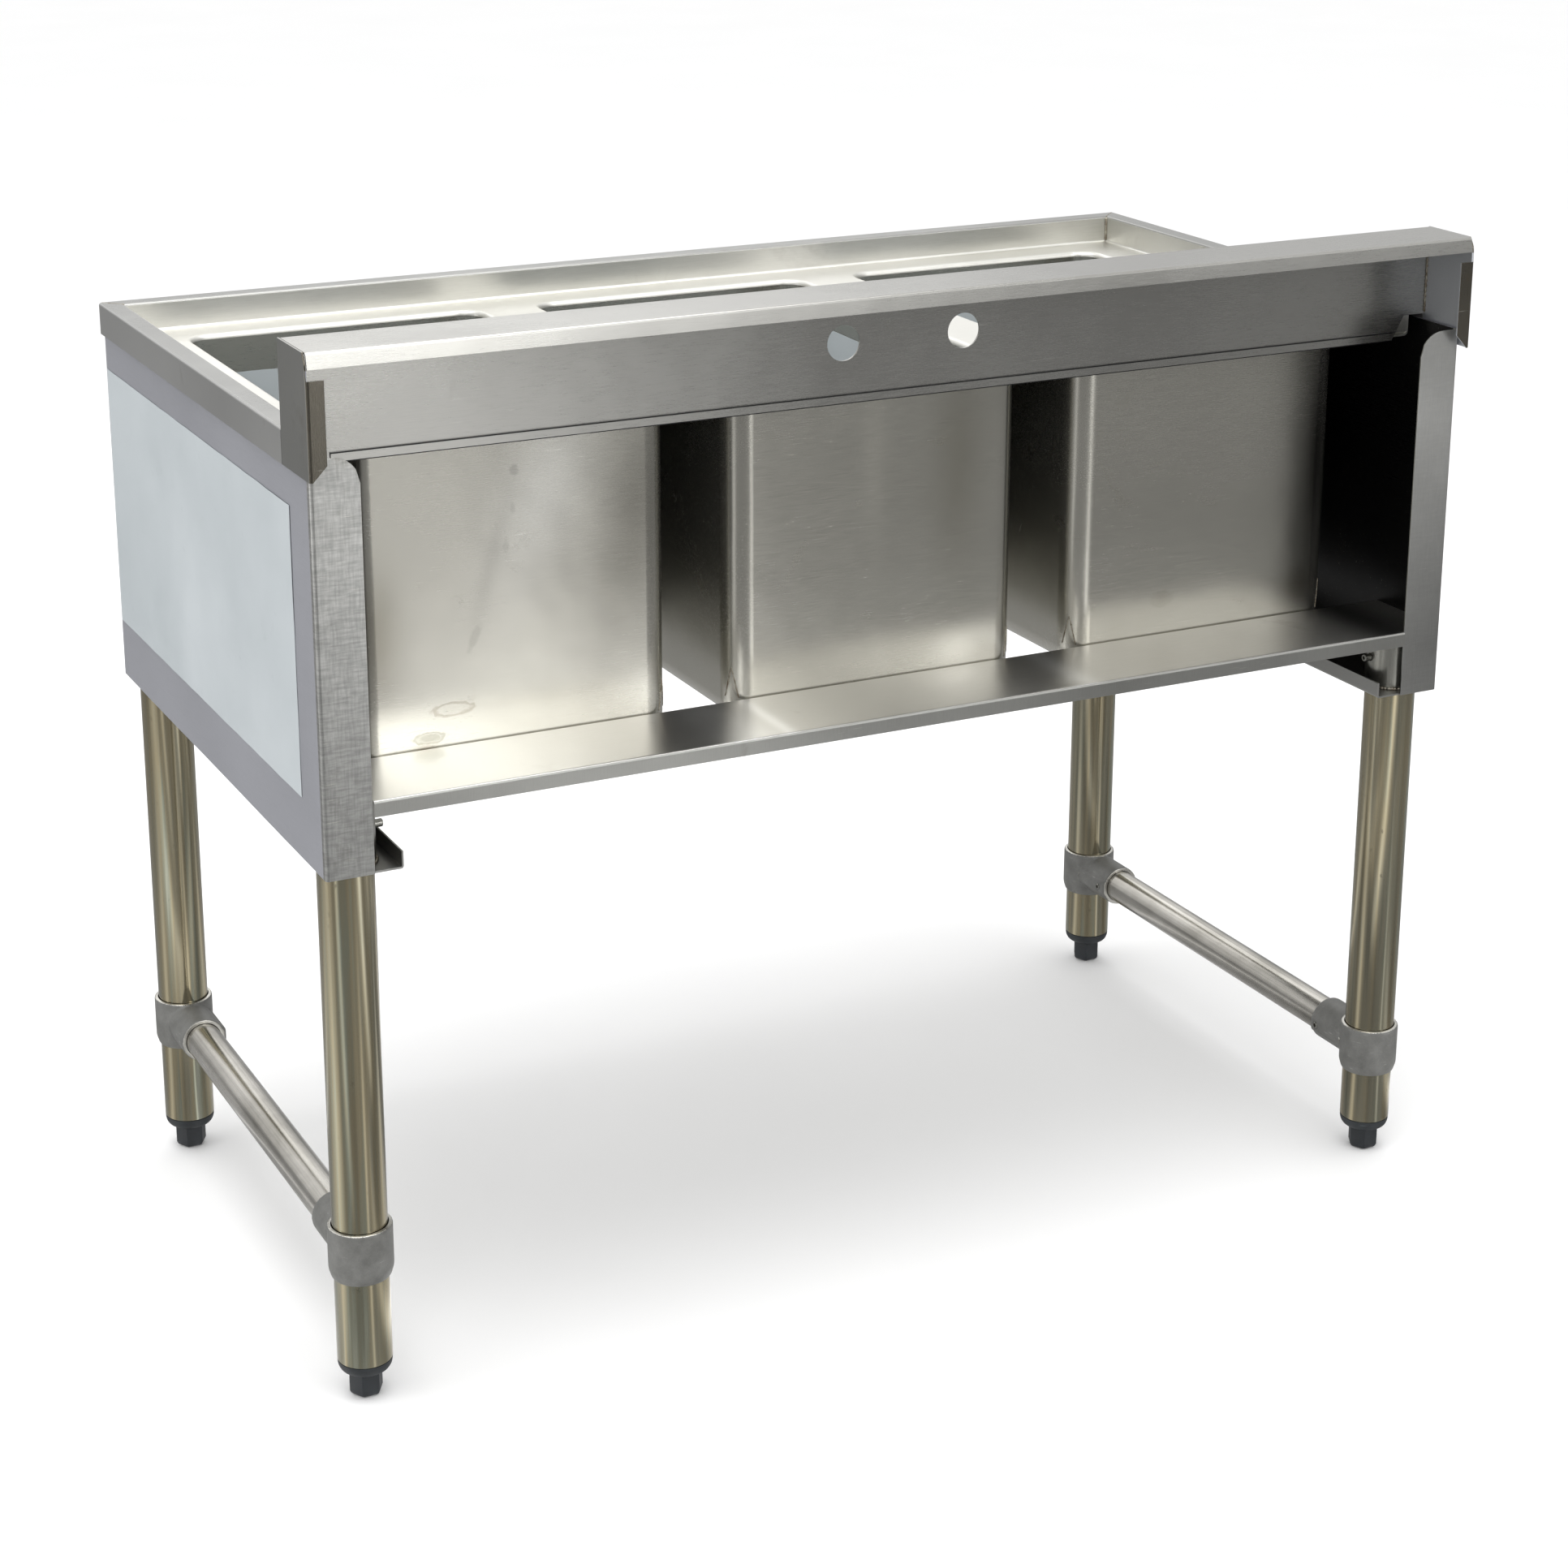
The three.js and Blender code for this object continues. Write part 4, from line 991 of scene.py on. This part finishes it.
for name, x, y, s, side, d in LEGS:
    b = TEE_B[side]
    top, axis = b + TEE_H, b + TEE_UP
    r = TEE_R
    body = lathe(f"tee_casting_{name}", [(0, b), (r - 2.8, b), (r - 2.0, b + 0.7), (r - 1.0, b + 4.0), (r, b + 7.5), (r, top), (0, top)], x, y, 72)
    reach = y + d * BRANCH_REACH
    ends = sorted([y, reach])
    br = lathe("branch", [(0, ends[0]), (BRANCH_R, ends[0]), (BRANCH_R, ends[1]), (0, ends[1])], x, axis, 64, axis="y")
    boolean(body, br, "UNION")
    # the pad that the set screws pass through, rounded where it meets the sleeve
    k = sorted([y + d * 13, reach - d * 1.0])
    px = sorted([x - s * 12, x - s * (BRANCH_R + 1.9)])
    pad = block("pad", px[0], px[1], k[0], k[1], axis - 7.5, axis + 7.5)
    edges(pad, 3.0, 4, 30)
    boolean(body, pad, "UNION")
    remesh(body, 0.9)
    bore_leg = lathe("cut", [(LEG_R + 0.75, b - 8), (LEG_R + 0.75, top + 8)], x, y, 72)
    boolean(body, bore_leg)
    c = sorted([y + d * (LEG_R - 1), reach + d * 10])
    boolean(body, lathe("cut", [(CROSS_R + 0.4, c[0]), (CROSS_R + 0.4, c[1])], x, axis, 64, axis="y"))
    sx = sorted([x - s * (CROSS_R - 2), x - s * (BRANCH_R + 6)])
    sy = y + d * SCREW_REACH
    boolean(body, lathe("cut", [(3.3, sx[0]), (3.3, sx[1])], sy, axis, 28, axis="x"))
    q = Vector((-s, d * 0.85, 0)).normalized()
    p = Vector((x, y, axis)) + q * (TEE_R + 1.2)
    extra = hex_screw(f"tee_sleeve_screw_{name}", tuple(p), tuple(q), 3.4, 3.2, 1.6)
    done(extra, "plated_hardware", mats=["zinc"], angle=40)
    paint(body, "tee", "rim_wear_and_highlight", "dark")
    # the top and branch end faces get the lighter rim copy: wear and a painted highlight
    by_place(body, 1, lambda c, n, top=top: c.z > top - 0.5 and n.z > 0.5)
    by_place(body, 1, lambda c, n, reach=reach, d=d: (c.y - reach) * d > -0.5 and n.y * d > 0.5)
    # the faces of the bore get the dark sheet: painted shade
    by_place(body, 2, lambda c, n, x=x, y=y: math.hypot(c.x - x, c.y - y) < LEG_R + 1.0 and abs(n.z) < 0.5)
    done(body, "cast_tee", f"tee_{name}", angle=38)
    scr = hex_screw(f"tee_set_screw_{name}", (x - s * (BRANCH_R + 2.5), sy, axis), (-s, 0, 0), BRANCH_R + 2.5 - CROSS_R - GAP, 3.0, 1.5)
    done(scr, "plated_hardware", f"tee_screw_{name}", mats=["zinc"], angle=40)

for side, s in SIDES:
    axis = TEE_B[side] + TEE_UP
    y0, y1 = LEG_FY + LEG_R + 1.2, LEG_RY - LEG_R - 1.2
    prof = [(CROSS_R - T, y0 + 0.2), (CROSS_R - 0.4, y0), (CROSS_R, y0 + 0.4), (CROSS_R, (y0 + y1) / 2), (CROSS_R, y1 - 0.4), (CROSS_R - 0.4, y1), (CROSS_R - T, y1 - 0.2), (CROSS_R - T, (y0 + y1) / 2)]
    tube = lathe(f"cross_tube_pipe_{side}", prof, s * LEG_X, axis, 72, closed=True, axis="y")
    done(tube, "stainless_tube", f"cross_tube_{side}", mats=["cross"])

# ---------------------------------------------------------------------------
# drains and strainers
# ---------------------------------------------------------------------------
for name, k in BOWLS:
    cx, f = k * PITCH, BOWL_FLOOR
    prof = [(19.0, 402.0), (21.5, 402.0), (22.0, 402.6)]
    z = 406.0
    while z < 446:
        prof += [(22.0, z), (21.3, z + 0.6), (21.3, z + 0.9), (22.0, z + 1.5)]
        z += 2.4
    prof += [(22.0, f + GAP), (37.6, f + GAP), (38.0, f + 0.7), (37.7, f + 1.3), (36.0, f + 1.9), (34.0, f + 2.3), (31.0, f + 2.4), (26.4, f + 2.4), (25.6, f + 2.25),
             (20.9, f + 1.0), (20.6, f + 0.5), (20.6, f - 18), (19.0, f - 18)]
    body = lathe(f"drain_fitting_{name}", prof, cx, DRAIN_Y, 96, closed=True)
    done(body, "polished_drain", f"drain_body_{name}", mats=["drain"], angle=35)
    under = f - T
    g1, g0 = under - GAP, under - GAP - 3
    gas = lathe(f"drain_seal_{name}", [(22.4, g0), (34.4, g0), (35.0, g0 + 0.6), (35.0, g1 - 0.6), (34.4, g1), (22.4, g1)], cx, DRAIN_Y, 72, closed=True)
    done(gas, "gasket_rubber", f"drain_gasket_{name}", mats=["rubber"], angle=35)
    nt = under - 2 * GAP - 3
    nut = lathe(f"drain_lock_nut_{name}", [(22.4, nt - 9), (29.6, nt - 9), (30.2, nt - 8.4), (32.6, nt - 3), (33.0, nt - 2.4), (33.0, nt), (22.4, nt)], cx, DRAIN_Y, 72, closed=True)
    for j in range(8):
        a = math.pi / 4 * j + 0.2
        boolean(nut, lathe("cut", [(3.0, nt - 12), (3.0, nt + 2)], cx + 34.2 * math.cos(a), DRAIN_Y + 34.2 * math.sin(a), 20))
    done(nut, "plated_hardware", f"drain_nut_{name}", mats=["zinc"], angle=35)

    cup = f - 16
    prof = [(0.0, cup), (14.9, cup), (15.6, cup + 0.4), (19.4, f - 8), (19.6, f + 1.3), (20.2, f + 1.7), (25.4, f + 2.9), (30.2, f + 2.9), (30.5, f + 3.2), (30.4, f + 3.7), (30.0, f + 3.9),
            (25.0, f + 3.9), (24.2, f + 3.75), (18.8, f + 2.3), (18.4, f + 1.8), (18.3, f - 7.4), (15.0, cup + 1.6), (14.6, cup + 1.2), (4.6, cup + 1.2), (4.0, cup + 1.8),
            (3.4, f - 6), (3.4, f + 9), (4.4, f + 11), (6.2, f + 12.4), (6.6, f + 14.4), (6.2, f + 16.6), (4.6, f + 17.8), (0.0, f + 18)]
    st = lathe(f"basket_strainer_{name}", prof, cx, DRAIN_Y, 96)
    for ring, count, rad in ((7.2, 8, 1.15), (11.2, 14, 1.25)):
        for j in range(count):
            a = 2 * math.pi * j / count
            boolean(st, lathe("cut", [(rad, cup - 2), (rad, cup + 4)], cx + ring * math.cos(a), DRAIN_Y + ring * math.sin(a), 14))
    done(st, "polished_drain", f"strainer_{name}", body=f"lift_out_{name}", mats=["drain"], angle=35)

# ---------------------------------------------------------------------------
# protective film
# ---------------------------------------------------------------------------
for side, s in SIDES:
    x = PANEL_OUT + GAP
    ys = np.linspace(-260, 210, 95)
    zs = np.linspace(470, 683, 44)
    verts = [(s * (x + 0.25 + 0.2 * noise.noise(Vector((y / 42, z / 60, s * 3.0)))), y + (0.5 * noise.noise(Vector((z / 25, 7, s))) if j in (0, 94) else 0),
              z + (0.4 * noise.noise(Vector((y / 25, 3, s))) if i in (0, 43) else 0)) for j, y in enumerate(ys) for i, z in enumerate(zs)]
    faces = [(j * 44 + i, j * 44 + i + 1, (j + 1) * 44 + i + 1, (j + 1) * 44 + i) for j in range(94) for i in range(43)]
    pf = make(f"panel_film_sheet_{side}", verts, faces)
    face_out(pf, (s * x, 0, 560), (s, 0, 0))
    thick(pf, 0.22, -1.0)
    done(pf, "protective_film", f"panel_film_{side}", mats=["film"], angle=60)

for name, k in BOWLS:
    cx = k * PITCH
    verts, faces = [], []
    zs = np.linspace(500, 680, 19)
    for i, z in enumerate(zs):
        ring = rounded(cx - BOWL_W / 2 + 0.55, cx + BOWL_W / 2 - 0.55, BOWL_Y0 + 0.55, BOWL_Y1 - 0.55, BOWL_R - 0.55, 10, 24)
        for j, (x, y) in enumerate(ring):
            w = 0.22 * noise.noise(Vector((x / 34, y / 34, z / 50 + k * 5)))
            dx, dy = cx - x, DRAIN_Y - y
            n = math.hypot(dx, dy)
            zz = z + (1.2 * noise.noise(Vector((x / 30, y / 30, 4 + k))) if i in (0, 18) else 0)
            verts.append((x + dx / n * (0.1 + w), y + dy / n * (0.1 + w), zz))
    n = len(ring)
    for i in range(18):
        for j in range(n):
            q = (j + 1) % n
            faces.append((i * n + j, i * n + q, (i + 1) * n + q, (i + 1) * n + j))
    bf = make(f"bowl_film_liner_{name}", verts, faces)
    face_out(bf, (cx + BOWL_W / 2, 0, 600), (-1, 0, 0))
    thick(bf, 0.2, 1.0)
    done(bf, "protective_film", f"bowl_film_{name}", mats=["film"], angle=60)

# ---------------------------------------------------------------------------
# welds
# ---------------------------------------------------------------------------
def bead(name, pts, r, lump=0.3, step=1.1, seed=0):
    """A row of overlapping weld ripples along a line of points, in mm."""
    pts = [Vector(p) for p in pts]
    dist = [0.0]
    for a, b in zip(pts, pts[1:]):
        dist.append(dist[-1] + (b - a).length)
    n = max(3, int(dist[-1] / step * 3))
    m = 10
    verts, faces = [], []
    for i in range(n + 1):
        t = dist[-1] * i / n
        j = max(0, min(len(pts) - 2, next((q for q in range(len(dist) - 1) if dist[q + 1] >= t), len(dist) - 2)))
        f = (t - dist[j]) / max(dist[j + 1] - dist[j], 1e-9)
        c = pts[j].lerp(pts[j + 1], f)
        fwd_ = (pts[j + 1] - pts[j]).normalized()
        a = fwd_.orthogonal().normalized()
        b = fwd_.cross(a)
        end = min(1.0, i / 2.0, (n - i) / 2.0)
        rr = r * (0.25 + 0.75 * end) * (1 + lump * (0.5 * math.sin(2 * math.pi * t / step / 1.6) + 0.6 * noise.noise(Vector((t / 3.0, seed, 0)))))
        for k in range(m):
            g = 2 * math.pi * k / m
            verts.append(tuple(c + a * rr * math.cos(g) + b * rr * math.sin(g)))
    for i in range(n):
        for k in range(m):
            q = (k + 1) % m
            faces.append((i * m + k, i * m + q, (i + 1) * m + q, (i + 1) * m + k))
    faces.append(tuple(range(m)))
    faces.append(tuple(n * m + k for k in range(m)))
    return make(name, verts, faces)


beads = []
for side, s in SIDES:
    xi, yi = s * (HALF - RIM_W), FRONT + RIM_W
    beads.append(bead(f"w1_{side}", [(xi - s * 0.4, yi + 0.4, DECK + 1.5), (xi - s * 0.4, yi + 0.4, RIM_TOP - 1.2)], 1.0, seed=s))
    beads.append(bead(f"w2_{side}", [(xi, yi, RIM_TOP - 0.35), (s * (HALF - 2.0), FRONT + 2.0, RIM_TOP - 0.35)], 0.55, 0.4, seed=s + 2))
    beads.append(bead(f"w3_{side}", [(s * (HALF - T - 0.4), SPLASH_Y + T + 0.5, NOTCH_TOP + 1), (s * (HALF - T - 0.4), SPLASH_Y + T + 0.5, 776)], 0.8, 0.5, 2.6, seed=s + 4))
    beads.append(bead(f"w4_{side}", [(s * (HALF - T + 0.3), SPLASH_Y + 3, SPLASH_TOP - 0.6), (s * (HALF - T + 0.3), RETURN_REAR - 2, SPLASH_TOP - 0.6)], 0.45, 0.35, seed=s + 6))
    beads.append(bead(f"w5_{side}", [(s * (HALF - 1.8), REAR - 2.0, SKIRT + 3), (s * (HALF - 4.0), REAR - 1.6, SKIRT + 5.5)], 1.2, 0.3, 1.4, seed=s + 8))
    for y in (LEG_RY, LEG_FY):
        ring = [(s * LEG_X + (SOCKET_R + 0.5) * math.cos(a), y + (SOCKET_R + 0.5) * math.sin(a), PANEL_BOTTOM + T + 0.9) for a in np.linspace(0.2, 6.1, 60)]
        beads.append(bead(f"w6_{side}_{int(y)}", ring, 1.1, 0.35, 1.8, seed=s + y))
for name, k in BOWLS:
    for sx in (1, -1):
        for sy, yy in ((1, BOWL_Y1), (-1, BOWL_Y0)):
            # a seam up the corner that splits into a V above the ledge, lying on the outside of the bend
            def on_corner(turn, z):
                a = math.radians(turn)
                r = BOWL_R + T + 0.05
                return (k * PITCH + sx * (BOWL_W / 2 - BOWL_R + r * math.sin(a)), yy + sy * (r * math.cos(a) - BOWL_R), z)
            for spread in (-1, 1):
                pts = [on_corner(52 + spread * 17 * (1 - t), 476.5 + 24 * t) for t in np.linspace(0, 1, 10)]
                beads.append(bead(f"w7_{name}_{sx}_{sy}_{spread}", pts, 0.5, 0.5, 1.5, seed=k * 3 + sx + sy + spread))
welds = join("weld_beads", beads)
done(welds, "brushed_sheet", mats=["weld"], angle=50)

# ---------------------------------------------------------------------------
# floor and light: a pale floor and room; what the metal mirrors is a room with soft bright and dark parts
# ---------------------------------------------------------------------------
def room(n, direction, lobes):
    """Brightness of the mirrored room by direction: a base by height and soft lobes (azimuth from +Y towards +X)."""
    sep = n.node("SeparateXYZ", Vector=direction)
    x, y, z = sep.outputs
    az = n.math("MULTIPLY", n.math("ARCTAN2", x, y), 180 / math.pi)
    out = n.math("ADD", n.range(z, -0.5, -0.25, LOW, BASE), n.range(z, 0.12, 0.75, 0.0, 0.85))

    def bell(v, mid, wide):
        q = n.math("DIVIDE", n.math("SUBTRACT", v, mid), wide)
        return n.math("POWER", math.e, n.math("MULTIPLY", n.math("MULTIPLY", q, q), -1.0))

    for mid, wide, z0, z1, zw, power in lobes:
        f = bell(az, mid, wide)
        f = n.math("MULTIPLY", f, n.range(z, z0 - zw, z0 + zw * 0.5))
        f = n.math("MULTIPLY", f, n.range(z, z1, z1 + zw, 1.0, 0.0))
        out = n.math("ADD", out, n.math("MULTIPLY", f, power))
    back = n.math("MULTIPLY", n.range(y, -0.35, -0.85), n.math("MULTIPLY", n.range(z, 0.02, 0.14), n.range(z, 0.5, 0.75, 1.0, 0.0)))
    return n.math("ADD", out, n.math("MULTIPLY", back, BACK))


BASE, LOW, BACK = 0.32, 0.46, 0.44
FLOOR_LOBES = [(-12.5, 4.6, -0.70, 0.10, 0.10, 1.05),
               (-12.0, 9.0, -0.85, -0.345, 0.035, 1.2),
               (97.0, 13.0, -0.80, 0.25, 0.15, 0.70),
               (66.0, 4.0, -0.60, 0.20, 0.10, 1.10)]
SKY_LOBES = [(-13.0, 5.0, -0.70, 0.10, 0.10, 0.60),
             (-19.5, 4.8, 0.22, 0.55, 0.14, 5.0),
             (-33.0, 14.0, 0.24, 0.55, 0.12, 0.80),
             (97.0, 13.0, -0.80, 0.25, 0.15, 0.70),
             (66.0, 4.0, -0.60, 0.20, 0.10, 1.10)]

fl = Nodes("studio_floor")
n = fl.noise(fl.mapped((1, 1, 1)), 3.0, 3.0, 0.5)
fl.set(Base_Color=fl.mix(fl.range(n, 0.3, 0.7), (0.95, 0.95, 0.95), (0.965, 0.965, 0.965)), Roughness=0.9, Metallic=0.0)
away = fl.node("VectorMath", _0=fl.co, _1=(0.05, 0.2, 0.60))
away.operation = "SUBTRACT"
unit = fl.node("VectorMath", _0=away.outputs[0])
unit.operation = "NORMALIZE"
strength = room(fl, unit.outputs[0], FLOOR_LOBES)
px, py, _ = fl.node("SeparateXYZ", Vector=fl.co).outputs
for _, lx, ly, *_ in LEGS:
    dx, dy = fl.math("SUBTRACT", px, lx * MM), fl.math("SUBTRACT", py, ly * MM)
    turn = fl.math("MULTIPLY", fl.math("ARCTAN2", dx, dy), 180 / math.pi)
    reach_ = fl.range(fl.math("SQRT", fl.math("ADD", fl.math("MULTIPLY", dx, dx), fl.math("MULTIPLY", dy, dy))), 0.45, 1.0, 1.0, 0.0)
    for mid, wide_, power in ((-16.0, 4.0, 0.95), (96.0, 11.0, 0.75), (-62.0, 16.0, -0.22), (28.0, 15.0, -0.12)):
        q = fl.math("DIVIDE", fl.math("SUBTRACT", turn, mid), wide_)
        f = fl.math("POWER", math.e, fl.math("MULTIPLY", fl.math("MULTIPLY", q, q), -1.0))
        strength = fl.math("ADD", strength, fl.math("MULTIPLY", fl.math("MULTIPLY", f, reach_), power))
glow = fl.node("Emission", Strength=strength)
path = fl.node("LightPath")
pick = fl.node("MixShader", _0=path.outputs["Is Glossy Ray"], _1=fl.b.outputs[0], _2=glow.outputs[0])
outn = next(q for q in fl.t.nodes if q.type == "OUTPUT_MATERIAL")
fl.t.links.new(pick.outputs[0], outn.inputs["Surface"])
floor = make("floor_plane", [(-30000, -30000, -0.2), (30000, -30000, -0.2), (30000, 30000, -0.2), (-30000, 30000, -0.2)], [(0, 1, 2, 3)])
floor.data.materials.append(fl.m)

world = bpy.data.worlds.new("studio")
world.use_nodes = True
scene.world = world
wn = Nodes.__new__(Nodes)
wn.t = world.node_tree
bg = next(q for q in wn.t.nodes if q.type == "BACKGROUND")
tc = wn.node("TexCoord")
wide = room(wn, tc.outputs["Generated"], SKY_LOBES)
wp = wn.node("LightPath")
both = wn.math("ADD", wn.math("MULTIPLY", wide, wp.outputs["Is Glossy Ray"]), wn.math("MULTIPLY", 1.03, wn.math("SUBTRACT", 1.0, wp.outputs["Is Glossy Ray"])))
tone = wn.node("CombineXYZ", X=both, Y=both, Z=both)
wn.t.links.new(tone.outputs[0], bg.inputs["Color"])
bg.inputs["Strength"].default_value = 1.0


def area(name, loc, target, size, power, tone=(1, 1, 1)):
    d = bpy.data.lights.new(name, "AREA")
    d.shape = "RECTANGLE"
    d.size, d.size_y = size
    d.energy = power
    d.color = tone
    o = bpy.data.objects.new(name, d)
    o.location = loc
    o.rotation_euler = (Vector(target) - Vector(loc)).to_track_quat("-Z", "Y").to_euler()
    scene.collection.objects.link(o)
    o.visible_camera = False
    return o


area("top_soft", (0.3, 0.3, 2.8), (0.1, 0, 0.6), (2.4, 1.8), 46)
area("front_soft", (-0.7, -3.0, 2.4), (0.1, 0, 0.7), (2.3, 1.0), 8)
area("rear_left_soft", (2.2, 2.9, 2.2), (0.4, 0.2, 0.6), (0.8, 0.8), 8)
area("strip_rear", (-0.28, 2.8, 0.95), (0.2, 0.2, 0.4), (0.09, 1.8), 3.0)
area("strip_side", (3.1, -0.35, 0.8), (0.45, 0.0, 0.4), (0.45, 1.5), 7)
